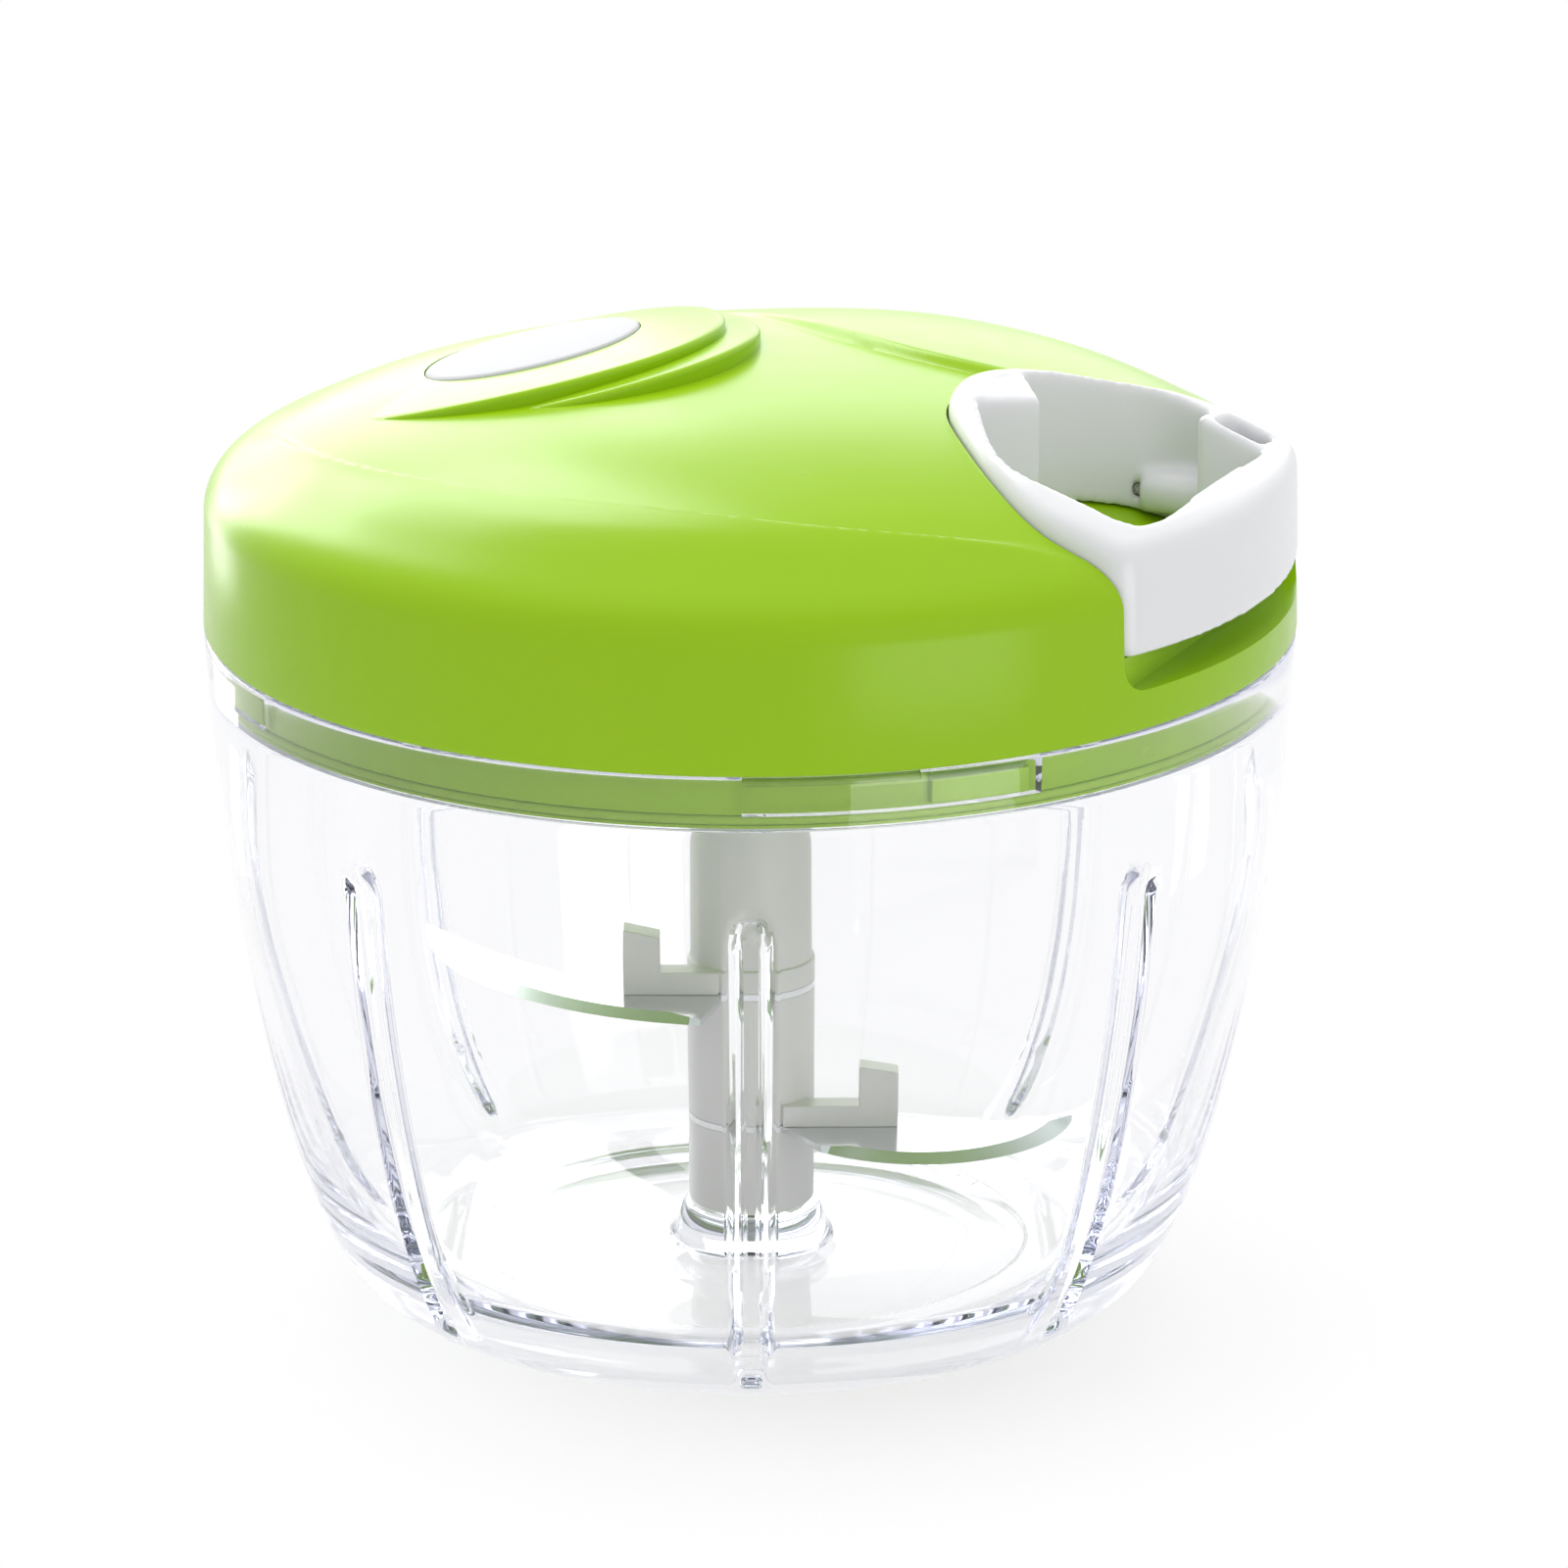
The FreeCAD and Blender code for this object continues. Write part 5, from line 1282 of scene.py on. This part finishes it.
@dataclass
class Cover(SubAssembly):
    """The lime cover with its raised tiers, lobes, handle seat and badge."""

    form: LidForm = field(default_factory=LidForm)
    dome_steps: int = 400
    crease: float = 32.0
    wall: float = 2.0
    seat_wall: float = 1.5
    grip_level: float = 84.2
    grip_radius: float = 56.0
    grip_half_width: float = 26.05
    front_lift: float = 1.3
    rear_lift: float = 1.1
    edge_reach: float = 0.9
    badge_centre: float = 27.5
    badge_half_width: float = 11.7
    badge_half_length: float = 14.7
    badge_gap: float = 0.1
    badge_depth: float = 0.8
    badge_rise: float = 0.35

    def build(self) -> None:
        """Builds the cover and its badge."""
        form = self.form
        cover = as_piece(self._dome(), "cover_lime")
        carve(cover, [
            oval_plug(22.0, 20.5, 24.0, form.step, self._sunk(form.step), 0.7),
            oval_plug(30.0, 24.0, 26.0, form.tier, self._sunk(form.tier), 0.7),
        ], Carving.JOIN)
        recess = oval_plug(self.badge_centre, self.badge_half_width + self.badge_gap,
                           self.badge_half_length + self.badge_gap,
                           lambda x, y: np.full_like(x, form.above_lid), self._off_tier(-self.badge_depth))
        carve(cover, [self._hollow(), form.handle_space(form.seat_gap, 88.0, 0.2), self._grip(), recess],
              Carving.CUT)
        cover.data.set_sharp_from_angle(angle=math.radians(self.crease))
        self.put(cover, self.palette.shelf.lime, Body.LID, Slot.LIME, ["lid_cover"])
        badge = oval_plug(self.badge_centre, self.badge_half_width, self.badge_half_length,
                          self._off_tier(self.badge_rise), self._off_tier(-self.badge_depth), 0.55)
        self.put(as_piece(badge, "badge_plate"), self.palette.shelf.badge, Body.LID, Slot.GLOSS_WHITE,
                 ["lid_badge"])

    def _off_tier(self, height: float) -> Surface:
        """Gives a surface that stands off the upper tier's face."""
        return lambda x, y: self.form.tier(x, y) + height

    def _sunk(self, face: Surface) -> Surface:
        """Gives a surface that stays inside the cover's wall, under a tier's face."""
        return lambda x, y: np.minimum(self.form.dome(x, y), face(x, y)) - 1.0

    def _dome(self) -> bmesh.types.BMesh:
        """Makes the filled dome with its two raised lobes.

        Returns:
            The dome, in metres.
        """
        form = self.form
        corners = [*form.dome_line, (form.foot_radius, form.foot_level, 0.35), (0.0, form.foot_level)]
        bm = turned(corners, self.dome_steps)
        reshape(bm, self._lobed)
        return bm

    def _lobed(self, places: np.ndarray) -> np.ndarray:
        """Raises the front and the rear lobe of the dome.

        Args:
            places: The vertices' places, one a row.

        Returns:
            Their new places.
        """
        front = np.array([(-58.7, -12.1), (-35.5, -35.6), (-19.3, -43.1), (-2.6, -45.7), (13.1, -44.4),
                          (29.5, -39.8), (42.1, -32.4), (46.0, -29.6), (51.1, -26.7), (60.0, -23.8)])
        rear = np.array([(-30.0, 38.0), (-13.7, 27.8), (-8.7, 25.3), (-3.4, 21.9), (1.8, 18.7),
                         (9.9, 14.4), (18.3, 12.0), (30.0, 11.0)])
        x, y, level = places.T
        radius = np.hypot(x, y)
        top = (level > self.form.foot_level + 1.0) & (radius < 61.5)
        before = np.interp(x, *self._drawn(front)) - y
        lift = self.front_lift * ease(before, -self.edge_reach, self.edge_reach)
        lift *= (1.0 - ease(radius, 50.0, 60.5)) * ease(x, -60.0, -35.0)
        behind = y - np.interp(x, *self._drawn(rear))
        lift += (self.rear_lift * ease(behind, -self.edge_reach, self.edge_reach)
                 * ease(x, -26.0, 8.0) * (1.0 - ease(radius, 40.0, 60.0)))
        return np.column_stack([x, y, level + lift * top])

    @staticmethod
    def _drawn(line: np.ndarray) -> tuple[np.ndarray, np.ndarray]:
        """Draws a crease smoothly through its points.

        Args:
            line: The crease's points, one a row.

        Returns:
            The drawn crease's places along X and along Y.
        """
        start, end = line[1] - line[0], line[-1] - line[-2]
        run = np.array(smooth_run([tuple(point) for point in line], tuple(start / np.hypot(*start)),
                                  tuple(end / np.hypot(*end)), 160))
        return run[:, 0], run[:, 1]

    def _hollow(self) -> bmesh.types.BMesh:
        """Makes the space inside the cover, without the seat's walls and the bosses.

        Returns:
            The space, as a solid.
        """
        form = self.form
        line = np.array(form.dome_line[::3] + [form.dome_line[-1]])
        along = np.gradient(line, axis=0)
        along /= np.hypot(*along.T)[:, None]
        inner = line + np.column_stack([along[:, 1], -along[:, 0]]) * self.wall
        inner[0, 0] = 0.0
        corners = [tuple(point) for point in inner]
        corners += [(form.foot_radius - self.wall, form.foot_level - 1.0), (0.0, form.foot_level - 1.0)]
        hollow = as_piece(turned(corners, 128), "cover_hollow")
        reach = self.grip_half_width + self.seat_wall
        fillings = [form.handle_space(form.seat_gap + self.seat_wall, 86.6, 1.6),
                    block((self.grip_radius - self.seat_wall, -reach, self.grip_level - 1.4),
                          (72.0, reach, 88.0)),
                    rod(6.0, (0.0, 0.0, 99.7), (0.0, 0.0, 125.0)),
                    block((31.0, 16.4, 90.4), (48.5, 23.6, 97.6))]
        fillings += [rod(3.6, (x, y, 81.95), (x, y, 125.0)) for x, y in form.screw_places()]
        carve(hollow, fillings, Carving.CUT)
        return reopened(hollow)

    def _grip(self) -> bmesh.types.BMesh:
        """Makes the gap for the fingers under the handle's outer wall.

        Returns:
            The gap, as a solid.
        """
        half, low, high, curve = self.grip_half_width, self.grip_level, 89.0, 3.0
        corners = [(-half, high), (-half, low + curve)]
        corners += [(-half + curve * (1 - math.cos(math.pi / 2 * k / 6)),
                     low + curve * (1 - math.sin(math.pi / 2 * k / 6))) for k in range(1, 7)]
        corners += [(-y, z) for y, z in corners[::-1]]
        bm = raised(corners, self.grip_radius, 72.0)
        reshape(bm, lambda places: places[:, [2, 0, 1]])
        bmesh.ops.recalc_face_normals(bm, faces=list(bm.faces))
        grip = as_piece(bm, "grip_space")
        carve(grip, [rod(self.grip_radius, (0.0, 0.0, 80.0), (0.0, 0.0, 95.0), 360)], Carving.CUT)
        return reopened(grip)


@dataclass
class LidWorks(SubAssembly):
    """The lid's base with its seal and screws, and the cord works that it carries."""

    form: LidForm = field(default_factory=LidForm)

    def build(self) -> None:
        """Builds the base, the seal, the screws, the reel, the spring and the clutch."""
        shelf = self.palette.shelf
        self.put(self.softened("lid_base", 0.3), shelf.lime, Body.LID, Slot.LIME, ["lid_base"])
        self.put(as_piece(turned([(58.7, 73.95, 0.2), (59.95, 73.95, 0.35), (59.95, 74.95, 0.35),
                                  (58.7, 74.95, 0.2)], 240, closed=True), "seal_ring"),
                 shelf.silicone, Body.SEAL, Slot.SILICONE, ["lid_seal"])
        self._screws()
        axle = turned([(0.0, 79.3), (2.6, 79.3), (3.0, 79.7), (3.0, 103.9), (2.6, 104.3), (0.0, 104.3)], 64)
        self.put(as_piece(axle, "axle_pin"), shelf.turned, Body.LID, Slot.STEEL, ["reel_axle"])
        for node, body, finish, slot in (
                ("reel_washer", Body.LID, shelf.turned, Slot.STEEL),
                ("cord_eyelet", Body.LID, shelf.turned, Slot.STEEL),
                ("reel_drum", Body.REEL, shelf.inner, Slot.INNER),
                ("spring_cover", Body.REEL, shelf.inner, Slot.INNER),
                ("pawl_retainer", Body.REEL, shelf.inner, Slot.INNER),
                ("pawl_spring_a", Body.REEL, shelf.spring, Slot.SPRING),
                ("pawl_spring_b", Body.REEL, shelf.spring, Slot.SPRING),
                ("drive_hub", Body.DRIVE, shelf.inner, Slot.INNER),
                ("pawl_a", Body.PAWL_A, shelf.inner, Slot.INNER),
                ("pawl_b", Body.PAWL_B, shelf.inner, Slot.INNER)):
            width = 0.08 if "washer" in node or "spring_" in node else 0.25
            self.put(self.softened(node, width), finish, body, slot, [node])
        self._spring()
        self._winding()

    def _screws(self) -> None:
        """Builds the four cross-head screws of the lid's base."""
        parts = []
        for angle, (x, y) in zip(self.form.screw_angles, self.form.screw_places()):
            screw = as_piece(turned([(0.0, 77.9), (2.2, 77.9, 0.3), (2.7, 78.7, 0.3), (2.7, 79.75),
                                     (1.35, 79.75), (1.35, 88.6), (0.6, 89.4), (0.0, 89.4)], 40), "screw")
            carve(screw, [block((-1.6, -0.3, 77.0), (1.6, 0.3, 78.9)),
                          block((-0.3, -1.6, 77.0), (0.3, 1.6, 78.9))], Carving.CUT)
            screw.data.transform(Matrix.Rotation(math.radians(angle * 1.7), 4, "Z"))
            screw.data.transform(Matrix.Translation((x * MM, y * MM, 0.0)))
            parts.append(reopened(screw))
        self.put(as_piece(joined(parts), "lid_screw_set"), self.palette.shelf.turned, Body.LID,
                 Slot.STEEL, ["lid_screws"])

    def _spring(self) -> None:
        """Builds the flat spiral spring between the axle and the drum."""
        turns, inner, outer, thick = 7.5, 3.25, 16.3, 0.35
        count = int(turns * 40)
        sides = []
        for grow in (0.0, thick):
            side = []
            for index in range(count + 1):
                share = index / count
                angle, radius = share * turns * math.tau, inner + (outer - inner) * share + grow
                side.append((radius * math.cos(angle), radius * math.sin(angle)))
            sides.append(side)
        strip = as_piece(raised(sides[0] + sides[1][::-1], 92.05, 96.65), "spring_spiral")
        self.put(strip, self.palette.shelf.spring, Body.REEL, Slot.SPRING, ["rewind_spring"])

    def _winding(self) -> None:
        """Builds the turns of cord on the drum."""
        turns, radius, cord, low = 4, 20.0, 0.86, 89.3
        rise, steps = 1.8 * 0.955, turns * 90
        bm = bmesh.new()
        ring = bmesh.ops.create_circle(bm, segments=14, radius=cord * MM,
                                       matrix=Matrix.Translation((radius * MM, 0.0, low * MM))
                                       @ Matrix.Rotation(math.pi / 2, 4, "X"))
        bmesh.ops.spin(bm, geom=ring["verts"] + list(bm.edges), cent=ORIGIN, axis=UP,
                       dvec=(0.0, 0.0, turns * rise * MM / steps), angle=math.tau * turns,
                       steps=steps, use_duplicate=False)
        bmesh.ops.holes_fill(bm, edges=list(bm.edges), sides=16)
        bmesh.ops.recalc_face_normals(bm, faces=list(bm.faces))
        self.put(as_piece(bm, "cord_turns"), self.palette.shelf.cord, Body.REEL, Slot.CORD,
                 ["cord_winding"])


@dataclass
class Handle(SubAssembly):
    """The white finger loop with the end of the cord that is knotted in it."""

    cord_side: float = 20.0
    cord_level: float = 94.0
    cord_start: float = 9.2
    cord_end: float = 51.0
    cord_width: float = 1.8
    knot_x: float = 53.0
    grain: float = 0.36
    rounds: int = 24
    swell: float = 0.12
    rim_face: float = 56.2
    lip_face: float = 54.6
    crown_radius: float = 149.6
    crown_centre: float = -36.8

    def build(self) -> None:
        """Builds the loop, the cord and its knot."""
        shelf = self.palette.shelf
        self.put(self._loop(), shelf.gloss_white, Body.HANDLE, Slot.GLOSS_WHITE, ["pull_handle"])
        knot = self.put(self._knot(), shelf.cord, Body.HANDLE, Slot.CORD, ["cord_knot"])
        lead = self.put(self._lead(), shelf.cord, Body.HANDLE, Slot.CORD, ["cord_lead"])
        start = (self.cord_start * MM, self.cord_side * MM, self.cord_level * MM)
        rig.cord(lead, start, (self.cord_end - self.cord_start) * MM, self.cord_width * MM, "knot",
                stiffness="limp", lay="taut", with_pieces=[knot])

    def _loop(self) -> bpy.types.Object:
        """Makes the loop with its soft moulded edges.

        Returns:
            The loop.
        """
        bm = self.solid("pull_handle")
        fillings = [self._filling((self.rim_face, -18.0, 88.7), (62.0, 17.0, 110.0)),
                    self._filling((self.lip_face, 16.0, 97.2), (60.0, 25.0, 110.0))]
        loop = as_piece(joined([bm, *fillings]), "finger_loop", crease=180.0)
        remesh = loop.modifiers.new("even", "REMESH")
        remesh.mode = "VOXEL"
        remesh.voxel_size = self.grain * MM
        remesh.use_smooth_shade = True
        smooth = loop.modifiers.new("soft", "SMOOTH")
        smooth.factor = 0.5
        smooth.iterations = self.rounds
        swollen = loop.modifiers.new("full", "DISPLACE")
        swollen.mid_level = 0.0
        swollen.strength = self.swell * MM
        settle(loop)
        loop.data.polygons.foreach_set("use_smooth", [True] * len(loop.data.polygons))
        return loop

    def _filling(self, low: Sequence[float], high: Sequence[float]) -> bmesh.types.BMesh:
        """Makes a block that thickens the loop's outer wall, under its crown.

        Args:
            low: The block's lowest corner.
            high: The block's highest corner.

        Returns:
            The block, cut to the wall and the crown.
        """
        crown = bmesh.new()
        bmesh.ops.create_uvsphere(crown, u_segments=160, v_segments=240, radius=self.crown_radius * MM)
        bmesh.ops.translate(crown, verts=list(crown.verts), vec=(0.0, 0.0, self.crown_centre * MM))
        filling = as_piece(block(low, high), "loop_filling")
        carve(filling, [rod(60.6, (0.0, 0.0, 80.0), (0.0, 0.0, 120.0), 240), crown], Carving.KEEP_COMMON)
        return reopened(filling)

    def _lead(self) -> bpy.types.Object:
        """Makes the straight stretch of cord from the drum to the knot.

        Returns:
            The cord's curve.
        """
        curve = bpy.data.curves.new("cord_run", "CURVE")
        curve.dimensions = "3D"
        curve.bevel_depth = self.cord_width / 2 * MM
        curve.bevel_resolution = 5
        curve.use_fill_caps = True
        line = curve.splines.new("NURBS")
        count = 8
        line.points.add(count - 1)
        for index, point in enumerate(line.points):
            along = self.cord_start + (self.cord_end - self.cord_start) * index / (count - 1)
            point.co = (along * MM, self.cord_side * MM, self.cord_level * MM, 1.0)
        line.order_u = 3
        line.use_endpoint_u = True
        lead = bpy.data.objects.new("cord_run", curve)
        bpy.context.scene.collection.objects.link(lead)
        return lead

    def _knot(self) -> bpy.types.Object:
        """Makes the overhand knot at the end of the cord.

        Returns:
            The knot.
        """
        reach, cord, steps = 1.42, 0.86, 96
        line = []
        for index in range(steps + 1):
            t = math.tau * index / steps
            line.append(Vector((reach * 0.55 * (math.sin(t) + 0.9 * math.sin(2 * t)),
                                reach * 0.55 * (math.cos(t) - 0.9 * math.cos(2 * t)),
                                -reach * 0.62 * math.sin(3 * t))))
        bm = bmesh.new()
        ring = list(bmesh.ops.create_circle(bm, segments=12, radius=cord * MM)["verts"])
        edges = list(bm.edges)
        home = [vert.co.copy() for vert in ring]
        for index, place in enumerate(line):
            if index > 0:
                grown = bmesh.ops.extrude_edge_only(bm, edges=edges)["geom"]
                ring = [item for item in grown if isinstance(item, bmesh.types.BMVert)]
                edges = [item for item in grown if isinstance(item, bmesh.types.BMEdge)
                         and all(vert in ring for vert in item.verts)]
            turn = (line[(index + 1) % steps] - line[(index - 1) % steps]).to_track_quat("Z", "Y")
            for vert, spot in zip(ring, home):
                vert.co = place * MM + turn @ spot
        bmesh.ops.remove_doubles(bm, verts=list(bm.verts), dist=0.00003)
        bmesh.ops.recalc_face_normals(bm, faces=list(bm.faces))
        bmesh.ops.translate(bm, verts=list(bm.verts), vec=(self.knot_x * MM, self.cord_side * MM,
                                                          self.cord_level * MM))
        return as_piece(bm, "cord_end_knot", crease=80.0)


# Studio


@dataclass
class Studio:
    """The pale table, the soft boxes and the camera."""

    camera_place: tuple[float, float, float] = (0.3041, -0.6521, 0.2915)
    azimuth: float = 25.0
    elevation: float = 16.40
    nods: tuple[float, float, float] = (-0.08, 1.51, -0.29)
    lens: float = 150.5
    sensor: float = 36.0
    bounces: int = 32
    lamp_target: tuple[float, float, float] = (0.0, 0.0, 0.07)
    shade_start: float = 0.042
    shade_end: float = 0.085
    shade_glow: float = 0.72
    daylight: float = 0.68

    def build(self) -> None:
        """Sets up the camera, the floor, the lamps and the world."""
        self._camera()
        self._floor()
        self._lamps()
        self._world()
        bpy.context.scene.view_settings.view_transform = "Standard"
        paths = bpy.context.scene.cycles
        paths.max_bounces = paths.transmission_bounces = paths.glossy_bounces = self.bounces

    def _camera(self) -> None:
        """Sets the camera where the photograph was taken from."""
        turn, rise = math.radians(self.azimuth), math.radians(self.elevation)
        right = Vector((math.cos(turn), math.sin(turn), 0.0))
        ahead = Vector((-math.sin(turn) * math.cos(rise), math.cos(turn) * math.cos(rise),
                        -math.sin(rise)))
        rows = Matrix((right, ahead.cross(right), ahead))
        for nod, axis in reversed(tuple(zip(self.nods, "ZXY"))):
            rows = Matrix.Rotation(math.radians(nod), 3, axis) @ rows
        axes = Matrix((rows[0], -rows[1], -rows[2])).transposed().to_4x4()
        data = bpy.data.cameras.new("studio_camera")
        data.lens, data.sensor_width = self.lens, self.sensor
        data.clip_start, data.clip_end = 0.05, 20.0
        camera = bpy.data.objects.new("studio_camera", data)
        camera.matrix_world = Matrix.Translation(self.camera_place) @ axes
        bpy.context.scene.collection.objects.link(camera)
        bpy.context.scene.camera = camera

    def _floor(self) -> None:
        """Lays the pale table: it keeps the object's shadow and shows white to the camera."""
        bm = bmesh.new()
        bmesh.ops.create_grid(bm, x_segments=2, y_segments=2, size=3.0)
        floor = as_piece(bm, "studio_table")
        nodes = Nodes(bpy.data.materials.new("table_white"))
        length = nodes.add("VectorMath", operation="LENGTH")
        nodes.link(nodes.place(), length.inputs[0])
        far = nodes.add("MapRange", interpolation_type="SMOOTHSTEP", From_Min=self.shade_start,
                        From_Max=self.shade_end, To_Min=self.shade_glow)
        nodes.link(length.outputs["Value"], far.inputs["Value"])
        share = nodes.add("Math", operation="MULTIPLY")
        nodes.link(nodes.seen(), share.inputs[0])
        nodes.link(far.outputs["Result"], share.inputs[1])
        mix = nodes.add("MixShader")
        nodes.link(share.outputs[0], mix.inputs["Fac"])
        nodes.link(nodes.add("BsdfDiffuse", Color=(0.86, 0.86, 0.86, 1.0)).outputs[0], mix.inputs[1])
        nodes.link(nodes.add("Emission", Color=WHITE_LIGHT, Strength=1.0).outputs[0], mix.inputs[2])
        floor.data.materials.append(nodes.finish(mix))
        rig.stage(floor)

    def _lamps(self) -> None:
        """Hangs the soft boxes, and the cards that only gloss shows."""
        self._soft_box("overhead", (-0.05, 0.10, 0.95), (0.90, 0.70), 3.2, Shines.ON_MATT)
        self._soft_box("fill_right", (0.80, -0.45, 0.42), (0.50, 0.62), 1.1, Shines.ON_MATT)
        self._soft_box("key_high", (-0.61, 0.46, 0.86), (0.60, 0.50), 5.4)
        self._soft_box("back_left", (-0.84, 0.78, 0.42), (0.80, 0.55), 4.6)
        self._soft_box("back_card", (-0.28, 1.11, 0.40), (0.55, 0.55), 1.3, Shines.ON_GLOSS)
        self._soft_box("card_left", (-0.260, 0.087, 0.15), (0.08, 0.30), 0.26, Shines.ON_GLOSS)
        self._soft_box("card_right", (0.250, -0.145, 0.043), (0.17, 0.085), 0.10, Shines.ON_GLOSS)

    def _soft_box(self, name: str, place: Sequence[float], size: tuple[float, float], power: float,
                  shines: Shines = Shines.ON_ALL) -> None:
        """Hangs one soft box, turned to the lid.

        Args:
            name: The lamp's name.
            place: Where it hangs, in metres.
            size: Its width and height.
            power: Its power in watts.
            shines: Which surfaces it lights.
        """
        data = bpy.data.lights.new(name, "AREA")
        data.shape = "RECTANGLE"
        data.size, data.size_y = size
        data.energy = power
        lamp = bpy.data.objects.new(name, data)
        lamp.location = place
        aim = Vector(self.lamp_target) - Vector(place)
        lamp.rotation_euler = aim.to_track_quat("-Z", "Y").to_euler()
        lamp.visible_diffuse = shines is not Shines.ON_GLOSS
        lamp.visible_glossy = shines is not Shines.ON_MATT
        bpy.context.scene.collection.objects.link(lamp)

    def _world(self) -> None:
        """Surrounds the object with white, which lights it less than it shows."""
        nodes = Nodes(bpy.data.worlds.new("studio_white"), "OutputWorld")
        back = nodes.add("Background", Color=WHITE_LIGHT)
        nodes.link(nodes.between(nodes.seen(), self.daylight, 1.0), back.inputs["Strength"])
        bpy.context.scene.world = nodes.finish(back)


def record_size(when: str, corners: Sequence[Vector]) -> None:
    """Writes the object's corners down.

    Args:
        when: Before or after the pieces are made.
        corners: The lowest and the highest corner.
    """
    path = "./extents.json"
    sizes: dict[str, list[list[float]]] = {}
    if when != "before":
        with open(path, encoding="utf-8") as file:
            sizes = json.load(file)
    sizes[when] = [list(map(float, corner)) for corner in corners]
    with open(path, "w", encoding="utf-8") as file:
        json.dump(sizes, file)
    LOG.info("size %s: %s", when, sizes[when])


def main() -> None:
    """Builds the chopper's looks and its studio."""
    logging.basicConfig(level=logging.INFO, format="%(name)s: %(message)s")
    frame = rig.load()
    record_size("before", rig.bounds())
    palette = Palette(FinishShelf())
    form = LidForm()
    Bowl(frame, palette).build()
    Column(frame, palette).build()
    Cover(frame, palette, form).build()
    LidWorks(frame, palette, form).build()
    Handle(frame, palette).build()
    Studio().build()
    record_size("after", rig.bounds())


if __name__ == "__main__":
    main()
